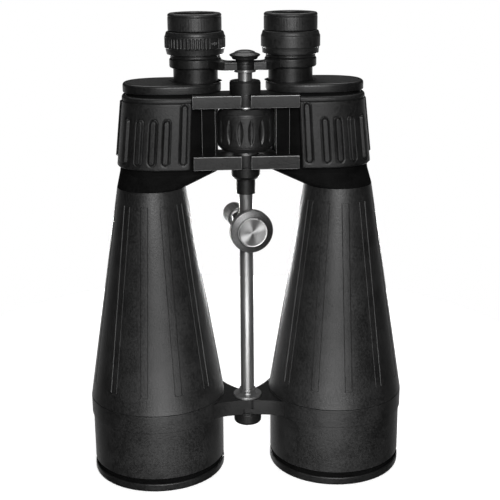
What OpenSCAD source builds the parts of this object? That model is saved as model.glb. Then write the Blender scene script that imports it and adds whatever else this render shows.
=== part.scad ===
// Giant 20 x 80 class Porro prism binoculars, standing on their objective rims.
// Origin: on the standing plane, midway between the two objective axes.
// +Z runs from the objectives up to the eyecups, +X is the right-hand half,
// and the side with the focus wheel and the lock knob faces -Y.

/* [Layout] */
// Distance between the two objective axes
objective_spacing = 131.6; // [131:0.1:133]
// Distance between the two eyepiece axes at rest
eyepiece_spacing = 66; // [65:0.1:67]
// How far the hinge axis lies in front of the objective axes
hinge_front = 11.4; // [11:0.1:12]
// How far the eyepiece axes lie behind the objective axes
eyepiece_back = 10.4; // [10:0.1:11]

/* [Objective end] */
// Outside diameter of the objective tube
tube_d = 96; // [95.4:0.1:96.4]
// Diameter of the objective lens
lens_d = 84; // [83:0.5:85]
// Outside diameter of the bridge ring that wraps the tube
ring_d = 97.8; // [97.2:0.1:98.4]
// Height of the top of the bridge ring
ring_top = 59; // [58:0.5:60]
// Height of the bottom of the bridge ring and of the front bridge
ring_bottom = 46; // [45.4:0.2:46.4]
// Height of the screw-in rim at the very end
rim_h = 6; // [5.5:0.1:6.5]

/* [Barrel cone] */
// Height at which the cone meets the prism housing
cone_top = 214; // [212:1:215]
// Diameter of the cone at that height
cone_top_d = 47.8; // [47:0.2:48.6]
// Wall thickness of the cone
cone_wall = 2; // [1.5:0.1:2.5]

/* [Prism housing] */
// Height of the underside of the prism cover plate
cover_bottom = 279.3; // [279:0.1:279.6]
// Thickness of the prism cover plate
cover_t = 6.2; // [5.5:0.1:6.5]
// Height at which the drafted wall of the housing starts
wall_bottom = 224; // [223:0.5:225]
// Height of the inside floor of the housing
floor_top = 228; // [227.6:0.1:228.2]
// Height of the prism shelf
shelf_z = 251; // [250.8:0.1:251.2]
// Thickness of the prism shelf
shelf_t = 2; // [1.8:0.1:2]

/* [Central hinge] */
// Height of the lower pair of hinge arms
lower_arm_z = 229; // [228.8:0.1:229.2]
// Thickness of the lower hinge arms
lower_arm_t = 9; // [8.6:0.1:9.2]
// Height of the upper pair of hinge arms
upper_arm_z = 270.9; // [270.8:0.1:271.1]
// Thickness of the upper hinge arms
upper_arm_t = 8.3; // [8:0.1:8.4]
// Width of the slot between the left and the right arms
arm_slot = 6.6; // [6:0.1:7]
// Radius of the interleaved hinge lugs
lug_r = 8.4; // [8:0.1:8.6]
// Diameter of the focus wheel
wheel_d = 39; // [38:0.5:39.4]

/* [Eyepieces] */
// Outside diameter of the sliding eyepiece tube
eye_tube_d = 30.8; // [30.4:0.1:31]
// Outside diameter of the rubber eyecup
eyecup_d = 37; // [36.6:0.1:37.4]
// Widest diameter of the grip ring
grip_d = 42; // [41:0.1:42.4]
// Overall height of the binoculars
overall_h = 331.6; // [331:0.1:332]

/* [Tripod post] */
// Diameter of the bright rod that joins the front bridge to the hinge
rod_d = 9.7; // [9.5:0.1:9.8]
// Height of the clamp axis on the rod
clamp_z = 186.3; // [180:1:190]
// How far the clamp is swivelled about the rod
clamp_turn = 10.5; // [8:0.5:12]
// Diameter of the lock knob
knob_d = 30; // [29:0.5:31]

/* [Hidden] */

$fn = 96;
LEFT = -1;
RIGHT = 1;
eps = 0.01;

obj_x = objective_spacing / 2;
hinge_y = -hinge_front;
eye_x = eyepiece_spacing / 2;
eye_y = eyepiece_back;
rod_r = rod_d / 2;

// Radial clearance of the parts that turn or slide on each other
running_gap = 0.06;
// Length of a cutter that goes right through a thin plate
through = 20;

// Colours
BLACK = "#26282a";
RUBBER = "#3a3c3e";
STEEL = "#c9ccd0";
GLASS = "#9fc4c8";
NYLON = "#d8d6cc";

// ---------- placing ----------

// Draws a right-hand shape as it is, or mirrored for the left-hand half.
module on_side(side) {
    mirror([side == LEFT ? 1 : 0, 0, 0]) children();
}

module at_objective() {
    translate([obj_x, 0, 0]) children();
}

module at_eyepiece() {
    translate([eye_x, eye_y, 0]) children();
}

module at_hinge(z = 0) {
    translate([0, hinge_y, z]) children();
}

// A round tube standing on z0.
module tube(z0, z1, r_out, r_in) {
    translate([0, 0, z0]) difference() {
        cylinder(r = r_out, h = z1 - z0);
        translate([0, 0, -1]) cylinder(r = r_in, h = z1 - z0 + 2);
    }
}

// ---------- objective end ----------

tube_r = tube_d / 2;
lens_r = lens_d / 2;
tube_bore = tube_r - 3;
rim_seat_r = tube_r - 2.4;
rim_seat_h = 4;
ring_seat_r = tube_r - 1.6;
lens_front_z = 16;
lens_back_z = 31;
lip_t = 2;
lip_r = lens_r - 2;
groove_z = [6.9, 8.2, 9.5];
groove_h = 0.7;
groove_deep = 0.6;

module objective_tube(side) {
    seat_top = rim_h + rim_seat_h;
    color(BLACK) on_side(side) at_objective() difference() {
        rotate_extrude() polygon([
            [rim_seat_r, rim_h], [tube_r, rim_h], [tube_r, ring_bottom],
            [ring_seat_r, ring_bottom], [ring_seat_r, ring_top],
            [tube_bore, ring_top], [tube_bore, lens_back_z + lip_t],
            [lip_r, lens_back_z + lip_t], [lip_r, lens_back_z],
            [lens_r, lens_back_z], [lens_r, seat_top], [rim_seat_r, seat_top]
        ]);
        for (z = groove_z) tube(z, z + groove_h, tube_r + 1, tube_r - groove_deep);
    }
}

rim_bore = 42.5;
rim_r = tube_r + 0.2;
rim_edge = 0.8;

module front_rim(side) {
    color(BLACK) on_side(side) at_objective() rotate_extrude() polygon([
        [rim_bore, rim_edge], [rim_bore + rim_edge, 0], [rim_r - rim_edge, 0], [rim_r, rim_edge],
        [rim_r, rim_h - rim_edge], [rim_r - rim_edge, rim_h],
        [rim_seat_r, rim_h], [rim_seat_r, rim_h + rim_seat_h],
        [rim_bore, rim_h + rim_seat_h]
    ]);
}

// A cemented doublet, drawn as one solid that bulges forwards.
crown_front_r = 254;

module objective_lens(side) {
    color(GLASS) on_side(side) at_objective() intersection() {
        translate([0, 0, lens_front_z - 1]) cylinder(r = lens_r, h = lens_back_z - lens_front_z + 1);
        translate([0, 0, lens_front_z + crown_front_r]) sphere(r = crown_front_r);
    }
}

retainer_wall = 2.4;
retainer_low = 11;

module lens_retaining_ring(side) {
    edge_z = lens_front_z + crown_front_r
        - sqrt(crown_front_r * crown_front_r - pow(lens_r - retainer_wall, 2));
    color(BLACK) on_side(side) at_objective()
        tube(retainer_low, edge_z, lens_r, lens_r - retainer_wall);
}

// ---------- front bridge ----------

bridge_bottom = ring_bottom;
bridge_top = 57.2;
bridge_split = 49.9;
bridge_lug_r = 9;
bridge_gap_r = 10.4;
split_gap = 0.1;

// Plan of the arm from the lug out into the ring, in the right-hand half.
module bridge_plan() {
    polygon([
        [0, hinge_y - bridge_lug_r], [11, hinge_y - 11.4], [17, hinge_y - 12.2],
        [24, hinge_y - 15], [33, hinge_y - 23], [42, hinge_y - 16], [42, 20],
        [26, 26], [19.5, 19.5], [14.5, 10.5], [10, 4.5], [5.2, -0.6],
        [0, hinge_y + bridge_lug_r]
    ]);
}

// The left lug fills the upper part of the bridge and the right lug the lower part.
module bridge_arm(side) {
    lug_z0 = side == LEFT ? bridge_split + split_gap : bridge_bottom;
    lug_z1 = side == LEFT ? bridge_top : bridge_split;
    other_z0 = side == LEFT ? bridge_bottom - 1 : bridge_split;
    other_z1 = side == LEFT ? bridge_split + split_gap : bridge_top + 1;
    color(BLACK) on_side(side) difference() {
        union() {
            at_objective() translate([0, 0, ring_bottom])
                cylinder(d = ring_d, h = ring_top - ring_bottom);
            translate([0, 0, bridge_bottom])
                linear_extrude(bridge_top - bridge_bottom) bridge_plan();
            at_hinge(lug_z0) cylinder(r = bridge_lug_r, h = lug_z1 - lug_z0);
        }
        at_objective() translate([0, 0, ring_bottom - 1])
            cylinder(r = ring_seat_r, h = ring_top);
        at_hinge(other_z0) cylinder(r = bridge_gap_r, h = other_z1 - other_z0);
        at_hinge(bridge_bottom - 1)
            cylinder(r = rod_r + (side == LEFT ? 0 : running_gap), h = through);
    }
}

rod_washer_r = 10.2;
rod_washer_t = 1.8;
rod_collar_r = 5.8;
rod_collar_h = 4;

module rod_washer() {
    color(STEEL) at_hinge(bridge_top) difference() {
        union() {
            cylinder(r = rod_washer_r, h = rod_washer_t);
            cylinder(r = rod_collar_r, h = rod_washer_t + rod_collar_h);
        }
        translate([0, 0, -1]) cylinder(r = rod_r, h = through);
    }
}

rod_bottom = 38;
rod_top = 220;
rod_cap_bottom = 36.6;
rod_cap_r = 10;

module rod_end_cap() {
    color(BLACK) at_hinge() difference() {
        rotate_extrude() polygon([
            [0, rod_cap_bottom], [rod_cap_r - 1.2, rod_cap_bottom],
            [rod_cap_r, rod_cap_bottom + 1.2], [rod_cap_r, bridge_bottom - split_gap],
            [0, bridge_bottom - split_gap]
        ]);
        translate([0, 0, rod_bottom]) cylinder(r = rod_r, h = through);
    }
}

// ---------- barrel cone ----------

cone_bottom_r = ring_d / 2 - 0.1;
cone_top_r = cone_top_d / 2;
spigot_r = 21;
spigot_h = 4;
tube_spigot_h = 9;

module barrel_cone(side) {
    spigot_bore = spigot_r - cone_wall;
    lower_bore = tube_bore - cone_wall;
    color(BLACK) on_side(side) at_objective() rotate_extrude() polygon([
        [tube_bore, ring_top - tube_spigot_h], [tube_bore, ring_top],
        [cone_bottom_r, ring_top], [cone_top_r, cone_top],
        [spigot_r, cone_top], [spigot_r, cone_top + spigot_h],
        [spigot_bore, cone_top + spigot_h], [spigot_bore, cone_top - 2],
        [cone_top_r - cone_wall, cone_top - 6], [cone_bottom_r - cone_wall, ring_top + 3],
        [lower_bore, ring_top - 2], [lower_bore, ring_top - tube_spigot_h]
    ]);
}

// ---------- prism housing ----------

// The plan of the housing is a full oval. It is wider than an ellipse at its corners.
oval_power = 2.4;
oval_steps = 72;

function oval_x(c, a, t) = c + a * sign(cos(t)) * pow(abs(cos(t)), 2 / oval_power);

function oval_y(c, b, t) = c + b * sign(sin(t)) * pow(abs(sin(t)), 2 / oval_power);

// Ovals are given by their inner end, outer end, front and back.
module oval(inner, outer, front, back) {
    polygon([for (i = [0:oval_steps - 1]) let (t = 360 * i / oval_steps) [
        oval_x((inner + outer) / 2, (outer - inner) / 2, t),
        oval_y((front + back) / 2, (back - front) / 2, t)
    ]]);
}

module cavity_plan() {
    oval(21.5, 78, -13, 30);
}

module wall_bottom_plan() {
    oval(18.5, 87.5, -19, 34);
}

module wall_top_plan() {
    oval(17.5, 81, -15.6, 33);
}

cover_top = cover_bottom + cover_t;
arm_front = -24;
arm_back = 4;
arm_outer = 36;
web_front = -17;
web_back = -5;
web_outer = 30;
wheel_r = wheel_d / 2;
wheel_clear_r = wheel_r + 1.8;
light_hole_r = 18;
axle_r = 5;
bush_r = 7;

// Drafted wall of the housing, widest at the bottom.
module housing_body() {
    hull() {
        translate([0, 0, wall_bottom]) linear_extrude(eps) wall_bottom_plan();
        translate([0, 0, cover_bottom - eps]) linear_extrude(eps) wall_top_plan();
    }
}

// Shoulder that leads from the round cone out to the oval wall.
module housing_shoulder() {
    hull() {
        translate([obj_x, 0, cone_top]) cylinder(r = cone_top_r, h = eps, $fn = 64);
        translate([0, 0, wall_bottom]) linear_extrude(eps) wall_bottom_plan();
    }
}

module hinge_arm(z0, t) {
    translate([arm_slot / 2, arm_front, z0])
        cube([arm_outer - arm_slot / 2, arm_back - arm_front, t]);
}

// Half of a hinge lug: the left half sits above the right half.
module hinge_lug(side, z0, t, grow) {
    mid = z0 + t / 2;
    low = side == LEFT ? mid + split_gap / 2 : z0;
    high = side == LEFT ? z0 + t : mid - split_gap / 2;
    at_hinge(low - (grow > 0 && side == RIGHT ? 1 : 0))
        cylinder(r = lug_r + grow, h = high - low + (grow > 0 ? 1 : 0));
}

lug_gap = 0.7;
guide_bottom = 269.2;
guide_r = 16.8;

module prism_housing(side) {
    other = -side;
    run = side == LEFT ? 0 : running_gap;
    color(BLACK) on_side(side) difference() {
        union() {
            housing_shoulder();
            housing_body();
            hinge_arm(lower_arm_z, lower_arm_t);
            hinge_arm(upper_arm_z, upper_arm_t);
            translate([arm_slot / 2, web_front, lower_arm_z])
                cube([
                    web_outer - arm_slot / 2, web_back - web_front, upper_arm_z - lower_arm_z + 1
                ]);
            hinge_lug(side, lower_arm_z, lower_arm_t, 0);
            hinge_lug(side, upper_arm_z, upper_arm_t, 0);
        }
        translate([0, 0, floor_top]) linear_extrude(cover_bottom) cavity_plan();
        at_objective() translate([0, 0, cone_top - 1]) cylinder(r = spigot_r, h = spigot_h + 1);
        at_objective() translate([0, 0, cone_top]) cylinder(r = light_hole_r, h = through);
        at_eyepiece() translate([0, 0, guide_bottom]) cylinder(r = guide_r, h = through);
        at_hinge(lower_arm_z + lower_arm_t)
            cylinder(r = wheel_clear_r, h = upper_arm_z - lower_arm_z - lower_arm_t);
        hinge_lug(other, lower_arm_z, lower_arm_t, lug_gap);
        hinge_lug(other, upper_arm_z, upper_arm_t, lug_gap);
        at_hinge(lower_arm_z - 1) cylinder(r = axle_r + run, h = lower_arm_t + 2);
        at_hinge(upper_arm_z - 1) cylinder(r = bush_r + run, h = upper_arm_t + 2);
    }
}

// ---------- armour ----------

armour_bottom = 228.5;
armour_top = 277.6;
armour_inner = 36.2;

module armour(side) {
    color(RUBBER) on_side(side) difference() {
        hull() {
            translate([0, 0, armour_bottom]) linear_extrude(eps) oval(15.5, 89.3, -22.8, 37.6);
            translate([0, 0, armour_top - eps]) linear_extrude(eps) oval(14.5, 83.8, -21.6, 36.6);
        }
        housing_shoulder();
        housing_body();
        translate([-1, -60, 0]) cube([armour_inner + 1, 120, 400]);
    }
}

// ---------- prism cover ----------

cover_screw_at = [[76, 14], [52, -9.5]];
eye_slide_r = eye_tube_d / 2;
screw_shank_r = 1.1;
screw_head_r = 2.2;
screw_head_h = 1.4;
screw_slot = 0.6;

module cover_screw_places() {
    for (p = cover_screw_at) translate([p[0], p[1], 0]) children();
}

module prism_cover(side) {
    color(BLACK) on_side(side) difference() {
        union() {
            translate([0, 0, cover_bottom]) linear_extrude(cover_t) oval(15.6, 83.6, -16.4, 33.6);
            at_eyepiece() translate([0, 0, guide_bottom])
                cylinder(r = guide_r, h = cover_top - guide_bottom);
        }
        at_eyepiece() translate([0, 0, guide_bottom - 1])
            cylinder(r = eye_slide_r + running_gap, h = through);
        cover_screw_places() {
            translate([0, 0, cover_bottom - 1]) cylinder(r = screw_shank_r, h = through);
            translate([0, 0, cover_top - screw_head_h]) cylinder(r = screw_head_r, h = through);
        }
    }
}

module cover_screws(side) {
    color(STEEL) on_side(side) cover_screw_places() difference() {
        union() {
            translate([0, 0, cover_bottom]) cylinder(r = screw_shank_r, h = cover_t - 1);
            translate([0, 0, cover_top - screw_head_h])
                cylinder(r = screw_head_r, h = screw_head_h);
        }
        translate([-screw_head_r - 1, -screw_slot / 2, cover_top - screw_slot])
            cube([2 * screw_head_r + 2, screw_slot, 1]);
    }
}

// ---------- prisms ----------

// The pair moves the beam from the objective axis to the eyepiece axis in two equal
// steps at right angles to each other.
shift = [eye_x - obj_x, eye_y];
mid_axis = [obj_x + (shift[0] + shift[1]) / 2, (shift[1] - shift[0]) / 2];
step_len = norm(shift) / sqrt(2);
prism_w = 18;
prism_half = step_len / 2 + prism_w / 2;
beam_r = 8;

upper_mid = (mid_axis + [obj_x, 0]) / 2;
lower_mid = (mid_axis + [eye_x, eye_y]) / 2;
upper_turn = atan2(mid_axis[1], mid_axis[0] - obj_x);
lower_turn = upper_turn + 90;

// A right-angle prism with its long face on z = 0 and its ridge up.
module ridge_prism(half, width) {
    rotate([90, 0, 0]) translate([0, 0, -width / 2]) linear_extrude(width)
        polygon([[-half, 0], [half, 0], [0, half]]);
}

module inside_cavity() {
    intersection() {
        children();
        translate([0, 0, floor_top]) linear_extrude(cover_bottom - floor_top)
            oval(22, 77.5, -12.5, 29.5);
    }
}

module upper_place() {
    translate([upper_mid[0], upper_mid[1], shelf_z + shelf_t])
        rotate([0, 0, upper_turn]) children();
}

module lower_place() {
    translate([lower_mid[0], lower_mid[1], shelf_z])
        rotate([0, 0, lower_turn]) mirror([0, 0, 1]) children();
}

module upper_prism(side) {
    color(GLASS) on_side(side) inside_cavity() upper_place() ridge_prism(prism_half, prism_w);
}

module lower_prism(side) {
    color(GLASS) on_side(side) inside_cavity() lower_place() ridge_prism(prism_half, prism_w);
}

clip_w = 6;
clip_t = 0.6;

// A sprung steel strap bent over the ridge of a prism.
module prism_clip() {
    difference() {
        ridge_prism(prism_half + clip_t, clip_w);
        translate([0, 0, -eps]) ridge_prism(prism_half + eps, clip_w + 2);
    }
}

module prism_clips(side) {
    color(STEEL) on_side(side) inside_cavity() {
        upper_place() prism_clip();
        lower_place() prism_clip();
    }
}

module prism_shelf(side) {
    color(BLACK) on_side(side) translate([0, 0, shelf_z]) difference() {
        linear_extrude(shelf_t) cavity_plan();
        for (p = [[obj_x, 0], mid_axis, [eye_x, eye_y]])
            translate([p[0], p[1], -1]) cylinder(r = beam_r, h = shelf_t + 2);
    }
}

// ---------- strap lug ----------

lug_w = 16;
lug_t = 4.4;
lug_slot = [10, 5.6];
lug_x = 58;
lug_root = 33;
lug_tip = 47;
lug_edge = 2.2;
lug_z = 262;

// Slotted lug for the neck strap. Its root passes through the armour into the housing.
module strap_lug(side) {
    color(BLACK) on_side(side) translate([lug_x, 0, lug_z]) difference() {
        translate([-lug_w / 2, lug_root, 0]) cube([lug_w, lug_tip - lug_root, lug_t]);
        translate([-lug_slot[0] / 2, lug_tip - lug_edge - lug_slot[1], -1])
            cube([lug_slot[0], lug_slot[1], lug_t + 2]);
    }
}

// ---------- eyepieces ----------

tube_low = 273.5;
tube_in = 13.6;
holder_bottom = 295;
holder_top = 301.5;
holder_r = 18;
collar_r = 17.2;
collar_top = 309;
eye_arm_bottom = 295.6;
eye_arm_top = 300.8;
eye_arm_split = 299.2;
eye_lug_r = 7.2;
eye_arm_front = 7.2;
eye_arm_back = 6.8;
eye_arm_end = 5.6;

module eyepiece_tube(side) {
    color(BLACK) on_side(side) at_eyepiece() rotate_extrude() polygon([
        [tube_in, tube_low], [eye_slide_r, tube_low], [eye_slide_r, holder_top],
        [collar_r, holder_top], [collar_r, collar_top], [tube_in, collar_top]
    ]);
}

// The left lug is the upper one and carries the focus screw; the right lug swings on it.
module eyepiece_arm(side) {
    lug_low = side == LEFT ? eye_arm_split + split_gap / 2 : eye_arm_bottom;
    lug_high = side == LEFT ? eye_arm_top : eye_arm_split - split_gap / 2;
    cut_low = side == LEFT ? eye_arm_bottom - 1 : eye_arm_split - split_gap / 2;
    cut_high = side == LEFT ? eye_arm_split + split_gap / 2 : eye_arm_top + 1;
    color(BLACK) on_side(side) difference() {
        union() {
            at_eyepiece() translate([0, 0, holder_bottom])
                cylinder(r = holder_r, h = holder_top - holder_bottom);
            translate([0, 0, eye_arm_bottom]) linear_extrude(eye_arm_top - eye_arm_bottom)
                polygon([
                    [eye_arm_end, hinge_y - eye_arm_front], [14, hinge_y - eye_arm_front],
                    [24, eye_y - 16], [40, eye_y - 8], [20, eye_y + 8],
                    [14, hinge_y + eye_arm_back + 4], [8, hinge_y + eye_arm_back],
                    [2.4, hinge_y + eye_arm_back], [2.4, hinge_y], [eye_arm_end, hinge_y]
                ]);
            at_hinge(lug_low) cylinder(r = eye_lug_r, h = lug_high - lug_low);
        }
        at_eyepiece() translate([0, 0, holder_bottom - 1])
            cylinder(r = eye_slide_r, h = through);
        at_hinge(cut_low) cylinder(r = eye_lug_r + 0.5, h = cut_high - cut_low);
        at_hinge(eye_arm_bottom - 1)
            cylinder(r = rod_r + (side == LEFT ? 0 : running_gap), h = through);
    }
}

cell_r = tube_in - running_gap;
cell_low = 284;
cell_flange_low = 319.7;
cell_flange_top = 321.7;
cell_flange_r = 17.4;
field_lens_r = 11.8;
field_lens_z = 286;
field_lens_t = 5;
eye_lens_r = 11;
eye_lens_z = 314;
eye_lens_t = 6;

module ocular_cell(side) {
    color(BLACK) on_side(side) at_eyepiece() rotate_extrude() polygon([
        [field_lens_r, cell_low], [cell_r, cell_low], [cell_r, cell_flange_low],
        [cell_flange_r, cell_flange_low], [cell_flange_r, cell_flange_top],
        [eye_lens_r - 0.8, cell_flange_top], [eye_lens_r - 0.8, eye_lens_z + eye_lens_t],
        [eye_lens_r, eye_lens_z + eye_lens_t], [eye_lens_r, field_lens_z + field_lens_t + 3],
        [field_lens_r, field_lens_z + field_lens_t + 3]
    ]);
}

// A plano-convex lens with its bulge up.
module plano_convex(z0, r, t) {
    edge = t * 0.45;
    sag = t - edge;
    ball = (r * r + sag * sag) / (2 * sag);
    translate([0, 0, z0]) intersection() {
        cylinder(r = r, h = t);
        translate([0, 0, t - ball]) sphere(r = ball);
    }
}

module field_lens(side) {
    color(GLASS) on_side(side) at_eyepiece()
        plano_convex(field_lens_z, field_lens_r, field_lens_t);
}

module eye_lens(side) {
    color(GLASS) on_side(side) at_eyepiece() plano_convex(eye_lens_z, eye_lens_r, eye_lens_t);
}

eyecup_low = 319.9;
eyecup_r = eyecup_d / 2;
eyecup_bore = 15.2;
eyecup_lip = 14;

module eyecup(side) {
    color(RUBBER) on_side(side) at_eyepiece() rotate_extrude() polygon([
        [cell_flange_r, eyecup_low], [eyecup_r, eyecup_low], [eyecup_r, overall_h - 0.8],
        [eyecup_r - 0.8, overall_h], [eyecup_lip, overall_h], [eyecup_lip, overall_h - 1.4],
        [eyecup_bore, overall_h - 3], [eyecup_bore, cell_flange_top],
        [cell_flange_r, cell_flange_top]
    ]);
}

grip_low = 304;
grip_top = 319.6;
grip_flange_low = 317.4;
grip_bore = collar_r + 0.3;
grip_r = grip_d / 2;
groove_count = 48;
groove_r = 0.9;
groove_low = 308.6;
groove_top = 315.6;

module ring_profile(widest) {
    rotate_extrude() polygon([
        [grip_bore, grip_low], [19.8, grip_low], [widest - 0.4, 307.5], [widest, 310.5],
        [widest, 315], [widest - 0.7, 317.6], [19.5, grip_top],
        [cell_r + running_gap, grip_top], [cell_r + running_gap, grip_flange_low],
        [grip_bore, grip_flange_low]
    ]);
}

// Ribbed ring that focuses the left eyepiece on its own.
module diopter_ring() {
    color(RUBBER) on_side(LEFT) at_eyepiece() difference() {
        ring_profile(grip_r);
        for (i = [0:groove_count - 1]) rotate([0, 0, 360 * i / groove_count])
            translate([grip_r + 0.35, 0, groove_low])
                cylinder(r = groove_r, h = groove_top - groove_low, $fn = 24);
    }
}

module grip_ring() {
    color(RUBBER) on_side(RIGHT) at_eyepiece() ring_profile(grip_r - 0.5);
}

// ---------- hinge pieces ----------

axle_low = 222;
axle_high = 239.6;
collar_bottom = 210;
collar_step = 220.4;
collar_top_z = lower_arm_z - split_gap;
collar_foot_r = 6.65;
collar_head_r = 10;
axle_head_r = 8.6;
axle_head_h = 1.5;

module lower_axle() {
    color(STEEL) at_hinge() {
        translate([0, 0, axle_low]) cylinder(r = axle_r, h = axle_high - axle_low);
        translate([0, 0, lower_arm_z + lower_arm_t + split_gap])
            tube(0, axle_head_h, axle_head_r, axle_r);
    }
}

module hinge_collar() {
    color(BLACK) at_hinge() difference() {
        rotate_extrude() polygon([
            [0, collar_bottom], [collar_foot_r, collar_bottom], [collar_foot_r, collar_step],
            [collar_head_r - 1.8, collar_step], [collar_head_r, collar_step + 2.4],
            [collar_head_r, collar_top_z], [0, collar_top_z]
        ]);
        translate([0, 0, axle_low]) cylinder(r = axle_r, h = through);
        translate([0, 0, collar_bottom - 1]) cylinder(r = rod_r, h = rod_top - collar_bottom + 1);
    }
}

module tripod_rod() {
    color(STEEL) at_hinge(rod_bottom) cylinder(r = rod_r, h = rod_top - rod_bottom);
}

screw_r = rod_r;
cap_ring_bottom = upper_arm_z + upper_arm_t + split_gap;
cap_ring_top = 288.2;
cap_ring_r = 10.6;
bush_stand = 2;

module upper_bush() {
    color(STEEL) at_hinge() tube(
        upper_arm_z, cap_ring_bottom + bush_stand, bush_r, screw_r + running_gap
    );
}

module hinge_cap_ring() {
    color(BLACK) at_hinge() difference() {
        rotate_extrude() polygon([
            [screw_r + running_gap, cap_ring_bottom], [cap_ring_r, cap_ring_bottom],
            [cap_ring_r, cap_ring_top - 0.8], [cap_ring_r - 0.8, cap_ring_top],
            [screw_r + running_gap, cap_ring_top]
        ]);
        translate([0, 0, cap_ring_bottom - 1]) cylinder(r = bush_r, h = bush_stand + 1);
    }
}

wheel_bottom = 241.2;
wheel_top = 270;
wheel_bevel = 3.2;
wheel_hub_r = 9;
wheel_hub_h = 0.8;
scallops = 16;
scallop_r = 3.2;
scallop_h = 14;
scallop_turn = 8.4;

module focus_wheel() {
    color(RUBBER) at_hinge() difference() {
        rotate_extrude() polygon([
            [screw_r + running_gap, wheel_bottom], [wheel_r - wheel_bevel, wheel_bottom],
            [wheel_r, wheel_bottom + wheel_bevel], [wheel_r, wheel_top - wheel_bevel],
            [wheel_r - wheel_bevel, wheel_top], [wheel_hub_r, wheel_top],
            [wheel_hub_r, wheel_top + wheel_hub_h], [screw_r + running_gap, wheel_top + wheel_hub_h]
        ]);
        for (i = [0:scallops - 1]) rotate([0, 0, scallop_turn + 360 * i / scallops])
            translate([wheel_r + 2.3, 0, (wheel_bottom + wheel_top - scallop_h) / 2])
                cylinder(r = scallop_r, h = scallop_h, $fn = 32);
    }
}

screw_bottom = 245;
screw_top = 303;
washer_low = 293.8;
washer_r = 7.3;

module focus_screw() {
    color(STEEL) at_hinge(screw_bottom) cylinder(r = screw_r, h = screw_top - screw_bottom);
}

module bridge_washer() {
    color(STEEL) at_hinge() tube(washer_low, eye_arm_bottom - split_gap, washer_r, screw_r);
}

dome_top = 308.5;
dome_low = 302.4;
dome_edge_r = 10.4;
dome_ball_r = 17;
dome_neck_r = 6.2;

module dome_cap() {
    color(BLACK) at_hinge() difference() {
        union() {
            translate([0, 0, eye_arm_top]) cylinder(r = dome_neck_r, h = dome_low + 1 - eye_arm_top);
            intersection() {
                translate([0, 0, dome_low]) cylinder(r = dome_edge_r, h = dome_top - dome_low + 1);
                translate([0, 0, dome_top - dome_ball_r]) sphere(r = dome_ball_r);
            }
        }
        translate([0, 0, eye_arm_top - 1]) cylinder(r = screw_r, h = screw_top - eye_arm_top + 1);
    }
}

// ---------- tripod clamp ----------

bush_out = 6.2;
clamp_half = 8;
clamp_r = 9.6;
screw_hole_r = 3;
pad_in = bush_out + 0.07;
pad_out = 8;
knob_back = 11.6;
knob_face = 19.6;
knob_r = knob_d / 2;
knob_rim = 5.2;
knob_face_r = 9.8;
knob_dish = 0.4;
knob_edge = 1;
boss_r = 6;
post_neck_r = 6.2;
post_neck_start = 11;
post_r = 8;
post_neck_end = 19;
post_end = 39;
spigot_in = 9.8;
post_spigot_r = 3.4;
socket_r = 2.55;
socket_h = 10;

// Local frame of the clamp: its own -Y points at the lock knob.
module at_clamp() {
    translate([0, hinge_y, clamp_z]) rotate([0, 0, clamp_turn]) children();
}

// A cylinder along the clamp axis; positive distances lie on the knob side.
module along_clamp(from, to, r) {
    rotate([90, 0, 0]) translate([0, 0, from]) cylinder(r = r, h = to - from);
}

module clamp_bush() {
    color(NYLON) at_clamp() translate([0, 0, -clamp_half])
        tube(0, 2 * clamp_half, bush_out, rod_r + running_gap);
}

module clamp_body() {
    color(BLACK) at_clamp() difference() {
        union() {
            translate([0, 0, -clamp_half]) cylinder(r = clamp_r, h = 2 * clamp_half);
            along_clamp(0, knob_back - 0.2, boss_r);
            along_clamp(-post_neck_start, 0, post_neck_r);
        }
        translate([0, 0, -clamp_half - 1])
            cylinder(r = bush_out + running_gap, h = 2 * clamp_half + 2);
        along_clamp(0, knob_back + 1, screw_hole_r + running_gap);
        along_clamp(-post_neck_start - 1, -spigot_in, post_spigot_r);
    }
}

module clamp_pad() {
    color(NYLON) at_clamp() intersection() {
        along_clamp(0, pad_out, screw_hole_r);
        difference() {
            translate([-pad_out, -pad_out - 1, -pad_out])
                cube([2 * pad_out, pad_out + 1, 2 * pad_out]);
            translate([0, 0, -clamp_half]) cylinder(r = pad_in, h = 2 * clamp_half);
        }
    }
}

// Knurled knob with a turned, slightly dished face, on its clamping screw.
module lock_knob() {
    color(STEEL) at_clamp() rotate([90, 0, 0]) rotate_extrude() polygon([
        [0, pad_out], [screw_hole_r, pad_out], [screw_hole_r, knob_back],
        [knob_r - knob_edge, knob_back], [knob_r, knob_back + knob_edge],
        [knob_r, knob_back + knob_rim], [knob_face_r + 0.8, knob_face - knob_edge],
        [knob_face_r, knob_face], [0, knob_face - knob_dish]
    ]);
}

module tripod_post() {
    color(BLACK) at_clamp() difference() {
        union() {
            along_clamp(-post_neck_end, -post_neck_start, post_neck_r);
            along_clamp(-post_neck_start, -spigot_in, post_spigot_r);
            along_clamp(-post_end + 1, -post_neck_end, post_r);
            along_clamp(-post_end, -post_end + 1, post_r - 0.8);
        }
        along_clamp(-post_end - 1, -post_end + socket_h, socket_r);
    }
}

// ---------- nodes ----------

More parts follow.
